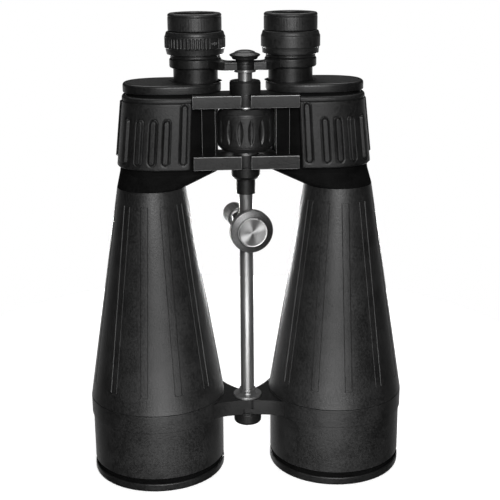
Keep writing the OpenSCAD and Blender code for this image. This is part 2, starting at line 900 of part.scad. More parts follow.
objective_tube(LEFT);  // objective_tube_left
objective_tube(RIGHT);  // objective_tube_right
front_rim(LEFT);  // front_rim_left
front_rim(RIGHT);  // front_rim_right
objective_lens(LEFT);  // objective_lens_left
objective_lens(RIGHT);  // objective_lens_right
lens_retaining_ring(LEFT);  // lens_retaining_ring_left
lens_retaining_ring(RIGHT);  // lens_retaining_ring_right
bridge_arm(LEFT);  // bridge_arm_left
bridge_arm(RIGHT);  // bridge_arm_right
barrel_cone(LEFT);  // barrel_cone_left
barrel_cone(RIGHT);  // barrel_cone_right
prism_housing(LEFT);  // prism_housing_left
prism_housing(RIGHT);  // prism_housing_right
armour(LEFT);  // armour_left
armour(RIGHT);  // armour_right
prism_cover(LEFT);  // prism_cover_left
prism_cover(RIGHT);  // prism_cover_right
cover_screws(LEFT);  // cover_screws_left
cover_screws(RIGHT);  // cover_screws_right
prism_shelf(LEFT);  // prism_shelf_left
prism_shelf(RIGHT);  // prism_shelf_right
upper_prism(LEFT);  // upper_prism_left
upper_prism(RIGHT);  // upper_prism_right
lower_prism(LEFT);  // lower_prism_left
lower_prism(RIGHT);  // lower_prism_right
prism_clips(LEFT);  // prism_clips_left
prism_clips(RIGHT);  // prism_clips_right
strap_lug(LEFT);  // strap_lug_left
strap_lug(RIGHT);  // strap_lug_right
eyepiece_tube(LEFT);  // eyepiece_tube_left
eyepiece_tube(RIGHT);  // eyepiece_tube_right
eyepiece_arm(LEFT);  // eyepiece_arm_left
eyepiece_arm(RIGHT);  // eyepiece_arm_right
ocular_cell(LEFT);  // ocular_cell_left
ocular_cell(RIGHT);  // ocular_cell_right
field_lens(LEFT);  // field_lens_left
field_lens(RIGHT);  // field_lens_right
eye_lens(LEFT);  // eye_lens_left
eye_lens(RIGHT);  // eye_lens_right
eyecup(LEFT);  // eyecup_left
eyecup(RIGHT);  // eyecup_right
diopter_ring();
grip_ring();
lower_axle();
hinge_collar();
upper_bush();
hinge_cap_ring();
focus_wheel();
focus_screw();
bridge_washer();
dome_cap();
tripod_rod();
rod_washer();
rod_end_cap();
clamp_bush();
clamp_body();
tripod_post();
clamp_pad();
lock_knob();
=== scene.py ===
"""Looks of the binoculars: meshes, procedural materials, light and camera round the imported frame."""

import math
from types import SimpleNamespace

import bmesh
import bpy
import numpy as np
from mathutils import Matrix, Vector


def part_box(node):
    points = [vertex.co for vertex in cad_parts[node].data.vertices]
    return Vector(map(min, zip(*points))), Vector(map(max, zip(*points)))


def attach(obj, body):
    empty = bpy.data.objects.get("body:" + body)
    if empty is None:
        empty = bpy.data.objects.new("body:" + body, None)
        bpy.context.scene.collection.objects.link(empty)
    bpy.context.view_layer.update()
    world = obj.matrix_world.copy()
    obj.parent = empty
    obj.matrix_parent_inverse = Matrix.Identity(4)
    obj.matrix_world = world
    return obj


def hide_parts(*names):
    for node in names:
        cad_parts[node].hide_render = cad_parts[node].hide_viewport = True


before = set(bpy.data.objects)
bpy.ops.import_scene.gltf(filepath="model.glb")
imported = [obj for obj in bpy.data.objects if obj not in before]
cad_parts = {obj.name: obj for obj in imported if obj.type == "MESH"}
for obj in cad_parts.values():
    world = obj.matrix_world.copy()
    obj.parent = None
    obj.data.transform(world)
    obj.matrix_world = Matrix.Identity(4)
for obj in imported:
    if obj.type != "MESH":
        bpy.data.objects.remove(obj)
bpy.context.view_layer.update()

MM = 0.001
LEFT, RIGHT = "left", "right"
SIDES = (LEFT, RIGHT)
HALF = {LEFT: "left_half", RIGHT: "right_half"}
CARRIAGE = {LEFT: "focus_carriage", RIGHT: "right_eyepiece"}
OCULAR = {LEFT: "left_ocular", RIGHT: "right_eyepiece"}


# ---------- places, in millimetres, from the frame ----------

def span(node):
    """Centre, half width, and lowest and highest corner of a CAD node, in millimetres."""
    low, high = (np.array(corner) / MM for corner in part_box(node))
    mid = (low + high) / 2
    return SimpleNamespace(
        x=mid[0], y=mid[1], z=mid[2], r=(high[0] - low[0]) / 2,
        z0=low[2], z1=high[2], low=low, high=high,
    )


tube = span("objective_tube_right")
rim = span("front_rim_right")
lens = span("objective_lens_right")
cover = span("prism_cover_right")
armour = span("armour_right")
eye = span("eyepiece_tube_right")
cup = span("eyecup_right")
grip = span("grip_ring")
rod = span("tripod_rod")
wheel = span("focus_wheel")
OBJECTIVE = (tube.x, tube.y)
EYEPIECE = (eye.x, eye.y)
HINGE = (rod.x, rod.y)


# ---------- shapes ----------

class Shape:
    """Points in millimetres, faces as lists of point numbers, and one material number for each face."""

    def __init__(self, points, faces, marks=None):
        self.points = np.array(points, float).reshape(-1, 3)
        self.faces = [list(face) for face in faces]
        self.marks = list(marks) if marks is not None else [0] * len(self.faces)

    def __add__(self, other):
        start = len(self.points)
        moved = [[i + start for i in face] for face in other.faces]
        return Shape(
            np.vstack([self.points, other.points]), self.faces + moved, self.marks + other.marks
        )

    def at(self, centre, z=0.0):
        return Shape(self.points + np.array([centre[0], centre[1], z]), self.faces, self.marks)

    def mirrored(self):
        return Shape(
            self.points * np.array([-1, 1, 1]), [face[::-1] for face in self.faces], self.marks
        )

    def painted(self, mark):
        return Shape(self.points, self.faces, [mark] * len(self.faces))


def rounded(profile, radius=0.4, steps=3, closed=True):
    """The profile with an arc at each corner. A corner may carry its own radius as a third number."""
    corners = [(p[0], p[1], p[2] if len(p) > 2 else radius) for p in profile]
    count = len(corners)
    points = []
    for i, (x, y, r) in enumerate(corners):
        here = np.array([x, y])
        if not closed and i in (0, count - 1):
            points.append(here)
            continue
        before = np.array(corners[i - 1][:2]) - here
        after = np.array(corners[(i + 1) % count][:2]) - here
        a, b = np.linalg.norm(before), np.linalg.norm(after)
        cut = min(r, 0.45 * a, 0.45 * b)
        if cut < 0.02:
            points.append(here)
            continue
        start, end = here + before / a * cut, here + after / b * cut
        for k in range(steps + 1):
            f = k / steps
            points.append((1 - f) ** 2 * start + 2 * f * (1 - f) * here + f * f * end)
    return [tuple(p) for p in points]


def grid(rows, closed_rows, closed_columns, cap=False, marks=None):
    """Faces over rows of points. A mark belongs to the band that starts at its row."""
    rows = np.array(rows, float)
    count, width = rows.shape[:2]
    faces, labels = [], []
    for i in range(count if closed_rows else count - 1):
        for j in range(width if closed_columns else width - 1):
            a, b = i * width, (i + 1) % count * width
            k = (j + 1) % width
            faces.append([a + j, a + k, b + k, b + j])
            labels.append(marks[i] if marks else 0)
    if cap and closed_rows:
        for j, flip in ((0, False), (width - 1, True)):
            end = [i * width + j for i in range(count)]
            faces.append(end if flip else end[::-1])
            labels.append(0)
    if cap and not closed_rows:
        for i, flip in ((0, True), (count - 1, False)):
            end = [i * width + j for j in range(width)]
            faces.append(end[::-1] if flip else end)
            labels.append(marks[max(0, min(i, count - 2))] if marks else 0)
    return Shape(rows.reshape(-1, 3), faces, labels)


def lathe(profile, steps=128, carve=None, angles=None, marks=None, cap=False):
    """A profile of (radius, z) spun about the Z axis. carve(angle, r, z) gives the carved radius."""
    angles = np.linspace(0, 2 * math.pi, steps, endpoint=False) if angles is None else angles
    rows = []
    for r, z in profile:
        a = np.array(angles(r, z) if callable(angles) else angles)
        reach = carve(a, r, z) if carve else np.full(len(a), r)
        rows.append(np.stack([reach * np.cos(a), reach * np.sin(a), np.full(len(a), z)], 1))
    return grid(rows, not cap, True, cap, marks)


def arc(centre, radius, start, end, steps=24):
    """Points on an arc, its angles in degrees."""
    turns = np.radians(np.linspace(start, end, steps + 1))
    return [(centre[0] + radius * math.cos(t), centre[1] + radius * math.sin(t)) for t in turns]


def plate(outline, z0, z1, bevel=0.35, top=True, bottom=True, edge_lit=True, corner=20):
    """An upright plate with bevelled edges. The bevels carry material 1, a painted highlight along the
    edges, unless that flag is turned off.
    """
    bm = bmesh.new()
    low = [bm.verts.new((x, y, z0)) for x, y in outline]
    high = [bm.verts.new((x, y, z1)) for x, y in outline]
    count = len(outline)
    bm.faces.new(low[::-1])
    bm.faces.new(high)
    for i in range(count):
        j = (i + 1) % count
        bm.faces.new([low[i], low[j], high[j], high[i]])
    bm.normal_update()
    chosen = []
    for i in range(count):
        a = Vector(outline[i]) - Vector(outline[i - 1])
        b = Vector(outline[(i + 1) % count]) - Vector(outline[i])
        if math.degrees(a.angle(b, 0.0)) > corner:
            chosen.append(bm.edges.get([low[i], high[i]]))
        j = (i + 1) % count
        if top:
            chosen.append(bm.edges.get([high[i], high[j]]))
        if bottom:
            chosen.append(bm.edges.get([low[i], low[j]]))
    # Bevel faces take material 1, the painted edge highlight, or keep the material of the faces beside
    # them.
    bmesh.ops.bevel(
        bm, geom=chosen, offset=bevel, offset_type="OFFSET", segments=2, profile=0.6,
        affect="EDGES", clamp_overlap=True, material=1 if edge_lit else -1,
    )
    bm.verts.index_update()
    shape = Shape(
        [v.co[:] for v in bm.verts], [[v.index for v in f.verts] for f in bm.faces],
        [f.material_index for f in bm.faces],
    )
    bm.free()
    return shape


def smooth(edge0, edge1, value):
    f = np.clip((value - edge0) / (edge1 - edge0), 0, 1)
    return f * f * (3 - 2 * f)


# ---------- materials ----------

def node_adder(tree):
    """add(kind, **settings) for a node tree: each setting is an input socket or a property of the node."""
    def add(kind, **settings):
        node = tree.nodes.new(kind)
        for key, value in settings.items():
            if key in node.inputs:
                node.inputs[key].default_value = value
            else:
                setattr(node, key, value)
        return node

    return add


def texture_nodes(name):
    """A new material with its node makers: (material, add a node, link, object coordinates, Principled)."""
    material = bpy.data.materials.new(name)
    material.use_nodes = True
    tree = material.node_tree
    shader = tree.nodes["Principled BSDF"]
    coordinates = tree.nodes.new("ShaderNodeTexCoord").outputs["Object"]
    return material, node_adder(tree), tree.links.new, coordinates, shader


def grain(add, link, coordinates, scale, detail=4.0, roughness=0.6, stretch=None):
    """A noise texture, with its pattern drawn out along the axes as stretch says."""
    noise = add("ShaderNodeTexNoise", Scale=scale, Detail=detail, Roughness=roughness)
    source = coordinates
    if stretch:
        mapping = add("ShaderNodeMapping")
        mapping.inputs["Scale"].default_value = stretch
        link(source, mapping.inputs["Vector"])
        source = mapping.outputs["Vector"]
    link(source, noise.inputs["Vector"])
    return noise.outputs["Fac"]


def between(add, link, fac, low, high):
    """fac, from 0 to 1, as a value or colour from low to high."""
    if isinstance(low, tuple):
        ramp = add("ShaderNodeValToRGB")
        ramp.color_ramp.elements[0].position, ramp.color_ramp.elements[1].position = 0.3, 0.7
        ramp.color_ramp.elements[0].color = (*low, 1)
        ramp.color_ramp.elements[1].color = (*high, 1)
        link(fac, ramp.inputs["Fac"])
        return ramp.outputs["Color"]
    mapped = add("ShaderNodeMapRange")
    mapped.inputs["From Min"].default_value, mapped.inputs["From Max"].default_value = 0.3, 0.7
    mapped.inputs["To Min"].default_value, mapped.inputs["To Max"].default_value = low, high
    link(fac, mapped.inputs["Value"])
    return mapped.outputs["Result"]


def bumped(add, link, shader, height, distance, strength=1.0):
    bump = add("ShaderNodeBump", Strength=strength, Distance=distance)
    link(height, bump.inputs["Height"])
    link(bump.outputs["Normal"], shader.inputs["Normal"])


def coating(name, dark, light, rough, grain_scale, grain_depth, specular=0.3, patch_scale=60):
    """A black coat, moulding or rubber: fine grain, slow patches of tone, and uneven gloss."""
    material, add, link, coordinates, shader = texture_nodes(name)
    patches = grain(add, link, coordinates, patch_scale, 3.0)
    fine = grain(add, link, coordinates, grain_scale, 3.0, 0.7)
    blend = add("ShaderNodeMath", operation="MULTIPLY_ADD")
    link(fine, blend.inputs[0])
    blend.inputs[1].default_value, blend.inputs[2].default_value = 1.3, -0.65
    total = add("ShaderNodeMath", operation="ADD")
    link(blend.outputs["Value"], total.inputs[0])
    link(patches, total.inputs[1])
    link(between(add, link, total.outputs["Value"], dark, light), shader.inputs["Base Color"])
    link(between(add, link, fine, rough - 0.08, rough + 0.09), shader.inputs["Roughness"])
    shader.inputs["Specular IOR Level"].default_value = specular
    bumped(add, link, shader, fine, grain_depth * MM)
    return material


def polished(name, dark, light, rough, scale, stretch, depth=0.01, metallic=1.0):
    """Bare metal with fine drawn-out tool marks."""
    material, add, link, coordinates, shader = texture_nodes(name)
    marks = grain(add, link, coordinates, scale, 5.0, 0.65, stretch)
    link(between(add, link, marks, dark, light), shader.inputs["Base Color"])
    link(between(add, link, marks, rough - 0.05, rough + 0.07), shader.inputs["Roughness"])
    shader.inputs["Metallic"].default_value = metallic
    bumped(add, link, shader, marks, depth * MM)
    return material


def spun(name, dark, light, rough, pitch, depth, anisotropy):
    """Metal faced on a lathe: fine rings about the piece's own Z axis, with a fan-shaped sheen."""
    material, add, link, coordinates, shader = texture_nodes(name)
    rings = add(
        "ShaderNodeTexWave", wave_type="RINGS", rings_direction="Z", Scale=0.05 / (pitch * MM),
        Distortion=0.6, Detail=2.0,
    )
    link(coordinates, rings.inputs["Vector"])
    stain = grain(add, link, coordinates, 220, 2.0)
    link(between(add, link, stain, dark, light), shader.inputs["Base Color"])
    link(between(add, link, stain, rough - 0.02, rough + 0.03), shader.inputs["Roughness"])
    shader.inputs["Metallic"].default_value = 1.0
    tangent = add("ShaderNodeTangent", direction_type="RADIAL", axis="Z")
    link(tangent.outputs["Tangent"], shader.inputs["Tangent"])
    shader.inputs["Anisotropic"].default_value = anisotropy
    bumped(add, link, shader, rings.outputs["Fac"], depth * MM)
    return material


def glass(name, tint, coat, rough=0.02):
    """Clear glass under a coloured anti-reflection film."""
    material, add, link, coordinates, shader = texture_nodes(name)
    cloud = grain(add, link, coordinates, 90, 2.0)
    link(between(add, link, cloud, tint, tuple(c * 0.94 for c in tint)), shader.inputs["Base Color"])
    link(between(add, link, cloud, rough, rough + 0.02), shader.inputs["Roughness"])
    shader.inputs["Transmission Weight"].default_value = 1.0
    shader.inputs["IOR"].default_value = 1.52
    if coat:
        shader.inputs["Coat Weight"].default_value = 1.0
        shader.inputs["Coat IOR"].default_value = 1.8
        shader.inputs["Coat Tint"].default_value = (*coat, 1)
    return material


def grey(value, warmth=0.0):
    return (value * (1 + warmth), value, value * (1 - warmth))


BARREL = coating("barrel_coat", grey(0.004), grey(0.011), 0.45, 700, 0.13, 0.34)
METAL = coating("black_metal", grey(0.003), grey(0.008), 0.40, 800, 0.09, 0.26)
RUBBER = coating("rubber_armour", grey(0.003), grey(0.009), 0.47, 700, 0.15, 0.26)
CUP = coating("eyecup_rubber", grey(0.004), grey(0.011), 0.46, 700, 0.11, 0.32)
GRIP = coating("rubber_grip", grey(0.0035), grey(0.010), 0.42, 800, 0.09, 0.34)
# Near black: the real black inside the tubes and housing, and painted shade on the webs, on the bare wall
# between the arms and on the grooved band by the objective rim.
INSIDE_AND_SHADE = coating("matt_black_inside_and_painted_shade", grey(0.0015), grey(0.003), 0.7, 900, 0.05, 0.02)
# Near black and dull: painted shade on the shoulder under the overhanging armour.
SHADE = coating("painted_shade_shoulder", grey(0.0018), grey(0.0042), 0.75, 900, 0.06, 0.02)
MARKS = coating("grey_marks", grey(0.10), grey(0.14), 0.5, 900, 0.02, 0.3)
NYLON = coating("nylon", grey(0.55, 0.03), grey(0.62, 0.03), 0.4, 800, 0.02, 0.5)
# Lighter metal on bevel faces: a painted highlight along the edges of the hinge arms and webs.
EDGE_HIGHLIGHT = polished("painted_edge_highlight", grey(0.07), grey(0.15), 0.42, 700, None, 0.01)
STEEL = polished("bright_steel", grey(0.17), grey(0.26), 0.34, 400, (1, 1, 0.06), 0.006, metallic=0.85)
POST = polished("post_metal", grey(0.12), grey(0.36), 0.40, 700, (1, 1, 0.05), 0.02)
TURNED = spun("turned_steel", grey(0.28), grey(0.34), 0.38, 0.35, 0.002, 0.8)
BLASTED = polished("blasted_steel", grey(0.07), grey(0.14), 0.5, 900, None, 0.03)
SPRING = polished("spring_steel", grey(0.40), grey(0.55), 0.3, 500, (1, 1, 0.1), 0.01)
SCREWS = polished("small_screws", grey(0.30), grey(0.45), 0.33, 800, None, 0.01)
LENS = glass("coated_glass", (0.80, 0.95, 0.88), (0.55, 0.95, 0.75))
PRISM = glass("prism_glass", (0.93, 0.98, 0.97), None)


# ---------- making a piece ----------

def piece(name, shape, body, slot, materials, nodes=(), mirror=False, place=None, sharp=35):
    """Makes the object, in its place, smooth with crisp edges, hangs it on the body it rides on, and hides
    the CAD nodes it stands for.
    """
    shape = shape.mirrored() if mirror else shape
    mesh = bpy.data.meshes.new(name)
    mesh.from_pydata((shape.points * MM).tolist(), [], shape.faces)
    for material in materials:
        mesh.materials.append(material)
    mesh.polygons.foreach_set("material_index", np.array(shape.marks, np.int32))
    bm = bmesh.new()
    bm.from_mesh(mesh)
    bmesh.ops.remove_doubles(bm, verts=bm.verts, dist=1e-7)
    bmesh.ops.recalc_face_normals(bm, faces=bm.faces)
    bm.to_mesh(mesh)
    bm.free()
    mesh.shade_smooth()
    mesh.set_sharp_from_angle(angle=math.radians(sharp))
    made = bpy.data.objects.new(name, mesh)
    bpy.context.scene.collection.objects.link(made)
    if place is not None:
        made.matrix_world = place
    weighted = made.modifiers.new("even_shading", "WEIGHTED_NORMAL")
    weighted.keep_sharp = True
    weighted.weight = 80
    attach(made, body)
    if nodes:
        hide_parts(*nodes)
    return made


def pair(name, shape_of, body_of, slot, materials, replaced=True, **settings):
    """The left-hand and the right-hand one of a piece. shape_of(side) is drawn for the right-hand half."""
    for side in SIDES:
        node = (f"{name}_{side}",) if replaced else ()
        piece(
            f"{name}_{side}", shape_of(side), body_of[side], slot, materials, node,
            mirror=side == LEFT, **settings,
        )


# ---------- objective end ----------

def objective_tube(side):
    band = rim.z1 - 4 + 0.2
    outside = [(tube.r, 46, 0.25), (tube.r, 10.2, 0.2), (tube.r - 0.7, 9.9, 0.1)]
    for z in (9.3, 8.1, 6.9):
        outside += [
            (tube.r - 0.7, z + 0.35, 0.1), (tube.r - 0.15, z + 0.1, 0.1),
            (tube.r - 0.15, z - 0.1, 0.1), (tube.r - 0.7, z - 0.35, 0.1),
        ]
    outside += [(tube.r - 0.7, band, 0.1)]
    inside = [
        (tube.r - 2.4, band), (tube.r - 2.4, 10), (42, 10), (42, 31), (40, 31), (40, 33),
        (45, 33), (45, tube.z1), (46.4, tube.z1), (46.4, 46),
    ]
    profile = rounded(outside + inside, 0.15)
    # Material 1, near black, on the bore and on the grooved band by the rim: real inside black in the bore,
    # painted shade on the recessed band.
    marks = [1 if r < tube.r - 0.1 and z < 11 or r < tube.r - 2 else 0 for r, z in profile]
    return lathe(profile, 192, marks=marks).at(OBJECTIVE)


def front_rim(side):
    outer = rim.r
    threads = []
    for k in range(9):
        z = 1.2 + k * 0.95
        threads += [(42.5, z), (42.85, z + 0.47)]
    profile = rounded([
        (42.5, 10, 0.1), (45.5, 10, 0.1), (45.5, 6.05, 0.1), (outer - 0.55, 6.05, 0.2),
        (outer, 5.5, 0.3), (outer, 1.4, 0.5), (outer - 0.5, 0.35, 0.4), (outer - 1.5, 0, 0.4),
        (43.6, 0, 0.4), (42.5, 1.0, 0.2),
    ], 0.3)
    return lathe(profile + threads, 192).at(OBJECTIVE)


def objective_lens(side):
    ball = 254
    edge = lens.z0 + ball - math.sqrt(ball ** 2 - lens.r ** 2)
    front = []
    for k in range(14):
        r = 0.01 + (lens.r - 0.4) * k / 13
        front.append((r, lens.z0 + ball - math.sqrt(ball ** 2 - r ** 2)))
    back = [(lens.r, edge + 0.3), (lens.r, lens.z1 - 0.3), (lens.r - 0.3, lens.z1), (0.01, lens.z1)]
    return lathe(front + back, 128, cap=True).at(OBJECTIVE)


def retaining_ring(side):
    ring = span("lens_retaining_ring_right")
    profile = rounded([
        (ring.r, ring.z0), (ring.r, ring.z1 - 0.02), (ring.r - 2.4, ring.z1 - 0.02),
        (ring.r - 2.4, ring.z0 + 1.5), (ring.r - 1.6, ring.z0),
    ], 0.25)

    def notched(a, r, z):
        slot = smooth(0.035, 0.02, np.abs((a / math.pi * 2 + 0.5) % 1 - 0.5) * math.pi / 2)
        return r + (1.3 * slot if r < ring.r - 1 and z < ring.z0 + 2 else 0)

    return lathe(profile, 192, notched).at(OBJECTIVE)


pair("objective_tube", objective_tube, HALF, "barrel_coat", [BARREL, INSIDE_AND_SHADE])
pair("front_rim", front_rim, HALF, "black_metal", [METAL])
pair("objective_lens", objective_lens, HALF, "coated_glass", [LENS])
pair("lens_retaining_ring", retaining_ring, HALF, "black_metal", [METAL])


# ---------- front bridge ----------

BRIDGE_LOW, BRIDGE_SPLIT, BRIDGE_HIGH = 46.0, 49.9, 57.2
BRIDGE_FRONT = [(11, -22.8), (17, -23.7), (24, -26.6), (29, -30.2), (33, -34.4)]
BRIDGE_BACK = [(26, 26), (19.5, 19.5), (14.5, 10.5), (10, 4.5), (5.2, -0.6)]


def bridge_arm(side):
    into_tube = arc(OBJECTIVE, 47.2, -134, -213, 30)
    lug = arc(HINGE, 9, 90, 270, 36)
    gap = arc(HINGE, 10.4, 74, -70, 36)
    own = BRIDGE_FRONT + into_tube + BRIDGE_BACK + lug
    other = BRIDGE_FRONT + into_tube + BRIDGE_BACK + gap
    upper, lower = (own, other) if side == LEFT else (other, own)
    edge = 0.3
    ring = lathe(rounded([
        (46.4, 46.05), (48.9, 46.05), (48.9, 58.95), (46.4, 58.95),
    ], 0.35), 192).at(OBJECTIVE)
    return (
        ring.painted(1)
        + plate(upper, BRIDGE_SPLIT + 0.1, BRIDGE_HIGH, edge, bottom=False, edge_lit=False)
        + plate(lower, BRIDGE_LOW, BRIDGE_SPLIT + 0.1, edge, top=False, edge_lit=False)
    )


pair("bridge_arm", bridge_arm, HALF, "black_metal", [METAL, BARREL])


def turned(name, node, profile, body, slot, materials, centre, steps=96, **settings):
    """One lathed piece about an upright axis, which stands for its CAD node."""
    return piece(name, lathe(profile, steps, **settings).at(centre), body, slot, materials, (node,))


def rod_washer():
    low, high, r = BRIDGE_HIGH, 59, 10.2
    profile = [(rod.r, low), (r, low), (r, high), (6.6, high), (6.6, high + 0.5), (5.9, high + 0.5)]
    for z in (high + 1.5, high + 2.5):
        profile += [(5.9, z - 0.25), (5.2, z - 0.1), (5.2, z + 0.1), (5.9, z + 0.25)]
    profile += [(5.9, high + 4), (rod.r, high + 4)]
    return rounded(profile, 0.18, 2)


turned("rod_washer", "rod_washer", rod_washer(), "left_half", "bright_steel", [STEEL], HINGE, 128)
END = span("rod_end_cap")
turned("rod_end_cap", "rod_end_cap", rounded([
    (0.01, END.z0 + 0.3), (4.2, END.z0 + 0.3), (4.6, END.z0), (END.r - 1, END.z0, 1.0),
    (END.r, END.z0 + 1.4, 1.0), (END.r, END.z1 - 1.7, 0.2), (END.r - 0.35, END.z1 - 1.4, 0.1),
    (END.r - 0.35, END.z1 - 1.1, 0.1), (END.r, END.z1 - 0.8, 0.2), (END.r, END.z1 - 0.02, 0.2),
    (0.01, END.z1 - 0.02),
], 0.3, closed=False), "left_half", "black_metal", [METAL], HINGE, 128, cap=True)


# ---------- barrel cone ----------

SPIGOT_TOP = 218
STRIP_COUNT = 12
STRIP_EDGES = (-2.75, -2.45, -2.2, -1.1, 0, 1.1, 2.2, 2.45, 2.75)
STRIP_SINK = (0, 2, 1, 1, 1, 1, 1, 2, 0)
STRIP_LOW, STRIP_HIGH = 72.0, 204.3
STRIP_DEPTH = 0.18
STRIP_TURN = {LEFT: 10.6, RIGHT: 4.6}


def barrel_cone(side):
    bottom_r, bottom_z, top_r, top_z = 48.8, 59, 23.9, 214
    fill = 14
    sector = 2 * math.pi / STRIP_COUNT
    start = -math.pi / 2 + math.radians(STRIP_TURN[side])

    def angles(r, z):
        turns = []
        for k in range(STRIP_COUNT):
            middle = start + k * sector
            edges = [middle + offset / r for offset in STRIP_EDGES]
            turns += edges
            free = middle + sector + STRIP_EDGES[0] / r - edges[-1]
            turns += [edges[-1] + free * (f + 1) / (fill + 1) for f in range(fill)]
        return turns

    def carve(a, r, z):
        sink = np.array(STRIP_SINK + (0,) * fill)[np.arange(len(a)) % (fill + len(STRIP_EDGES))]
        on_the_outside = STRIP_LOW < z < STRIP_HIGH and (r > 30 or z > 150)
        return r - STRIP_DEPTH * sink * on_the_outside

    levels = [bottom_z + 0.05, bottom_z + 0.3, bottom_z + 0.6, STRIP_LOW, STRIP_LOW + 0.2]
    levels += list(np.linspace(STRIP_LOW + 0.2, STRIP_HIGH - 0.2, 24)[1:])
    levels += [STRIP_HIGH, top_z - 0.6, top_z - 0.05]
    outside = []
    for k, z in enumerate(levels):
        r = bottom_r + (top_r - bottom_r) * (z - bottom_z) / (top_z - bottom_z)
        outside.append((r - (0.35, 0.1, 0)[k] if k < 3 else r, z))
    inside = [
        (21, top_z), (21, SPIGOT_TOP), (19, SPIGOT_TOP), (19, top_z - 2), (21.9, top_z - 6),
        (46.6, 62), (43, 57), (43, 50), (44.9, 50), (44.9, 59),
    ]
    return lathe(outside + inside, 0, carve, angles).at(OBJECTIVE)


pair("barrel_cone", barrel_cone, HALF, "barrel_coat", [BARREL], sharp=25)
turned("tripod_rod", "tripod_rod", rounded([
    (0.01, rod.z0), (rod.r, rod.z0), (rod.r, rod.z1), (0.01, rod.z1),
], 0.4, closed=False), "left_half", "bright_steel", [STEEL], HINGE, 96, cap=True)


# ---------- prism housing ----------

OVAL_POWER = 2.4


def oval(inner, outer, front, back, turns):
    """Points of the housing's oval plan at the angles given, in radians."""
    c, s = np.cos(turns), np.sin(turns)
    x = (inner + outer) / 2 + (outer - inner) / 2 * np.sign(c) * np.abs(c) ** (2 / OVAL_POWER)
    y = (front + back) / 2 + (back - front) / 2 * np.sign(s) * np.abs(s) ** (2 / OVAL_POWER)
    return np.stack([x, y], 1)


def circle(centre, r, turns):
    return np.stack([centre[0] + r * np.cos(turns), centre[1] + r * np.sin(turns)], 1)


def level(plan, z):
    return np.column_stack([plan, np.full(len(plan), z)])


TURNS = np.linspace(0, 2 * math.pi, 192, endpoint=False)
SHOULDER_LOW, WALL_LOW, WALL_HIGH, FLOOR = 214, 224, 279.28, 228
WALL_FOOT = np.array([18.5, 87.5, -19, 34])
SLEEVE_R = 16.8
WALL_HEAD = np.array([17.5, 81, -15.6, 33])
ARM_SLOT, ARM_OUTER, ARM_FRONT, ARM_BACK = 3.3, 36, -24, 4
LOWER_ARM = (229, 233.5, 238)
UPPER_ARM = (270.9, 275.05, 279.2)
LUG_R, LUG_GAP_R = 8.4, 9.1


def wall(z, inset=0.0):
    f = (z - WALL_LOW) / (WALL_HIGH - WALL_LOW)
    box = WALL_FOOT + (WALL_HEAD - WALL_FOOT) * f + np.array([1, -1, 1, -1]) * inset
    return level(oval(*box, TURNS), z)


def seated(row):
    """The row, sunk where the sleeve round the eyepiece tube stands in the wall."""
    near = np.hypot(row[:, 0] - EYEPIECE[0], row[:, 1] - EYEPIECE[1]) < SLEEVE_R
    row[near, 2] = cover.z0
    return row


def housing_shell():
    neck = circle(OBJECTIVE, 23.88, TURNS)
    foot = oval(*WALL_FOOT, TURNS)
    rows = [level(circle(OBJECTIVE, 21, TURNS), SHOULDER_LOW + 0.06), level(neck, SHOULDER_LOW + 0.06)]
    for f in np.linspace(0.06, 0.94, 12):
        rows.append(level(neck + (foot - neck) * f, SHOULDER_LOW + (WALL_LOW - SHOULDER_LOW) * f))
    rows += [level(foot, WALL_LOW), wall(WALL_LOW + 0.5), wall(250), seated(wall(WALL_HIGH - 0.6))]
    # Bands from the spigot up to the wall foot, under the armour, take the painted shade material.
    under = len(rows) - 3
    cavity = oval(21.5, 78, -13, 30, TURNS)
    rim, lip = wall(WALL_HIGH, 0.4), level(cavity, WALL_HIGH)
    rows += [seated(rim + (lip - rim) * f) for f in np.linspace(0, 1, 6)]
    rows += [level(cavity, FLOOR)]
    rows += [level(circle(OBJECTIVE, 18, TURNS), FLOOR), level(circle(OBJECTIVE, 18, TURNS), SPIGOT_TOP)]
    rows += [level(circle(OBJECTIVE, 21, TURNS), SPIGOT_TOP)]
    # Above the wall foot the bands take the near-black inside material: real inside black, and painted
    # shade where the bare wall shows between the arms.
    marks = [3] * under + [2] * (len(rows) - under)
    return grid(rows, True, True, marks=marks)


def hinge_arm(side, levels):
    """One arm: the half of its height with its own lug, and the half that clears the other side's lug."""
    def across(r):
        return math.sqrt(r ** 2 - ARM_SLOT ** 2)

    def turn(r):
        return math.degrees(math.atan2(across(r), ARM_SLOT))

    inside = [(ARM_OUTER, ARM_BACK)]
    if levels[0] > cover.z0:
        start = -math.degrees(math.acos((ARM_OUTER - EYEPIECE[0]) / SLEEVE_R))
        end = -180 - math.degrees(math.asin((ARM_BACK - EYEPIECE[1]) / SLEEVE_R))
        inside = arc(EYEPIECE, SLEEVE_R, start, end, 20)
    slab = [(ARM_SLOT, ARM_FRONT), (ARM_OUTER, ARM_FRONT), *inside, (ARM_SLOT, ARM_BACK)]
    own = slab + arc(HINGE, LUG_R, turn(LUG_R), 360 - turn(LUG_R), 48)
    other = slab + arc(HINGE, LUG_GAP_R, turn(LUG_GAP_R), -turn(LUG_GAP_R), 32)
    upper, lower = (own, other) if side == LEFT else (other, own)
    low, mid, high = levels
    # The bevels of both plates take material 1, the painted edge highlight.
    return (
        plate(upper, mid, high, 0.3, bottom=False) + plate(lower, low, mid, 0.3, top=False)
    )


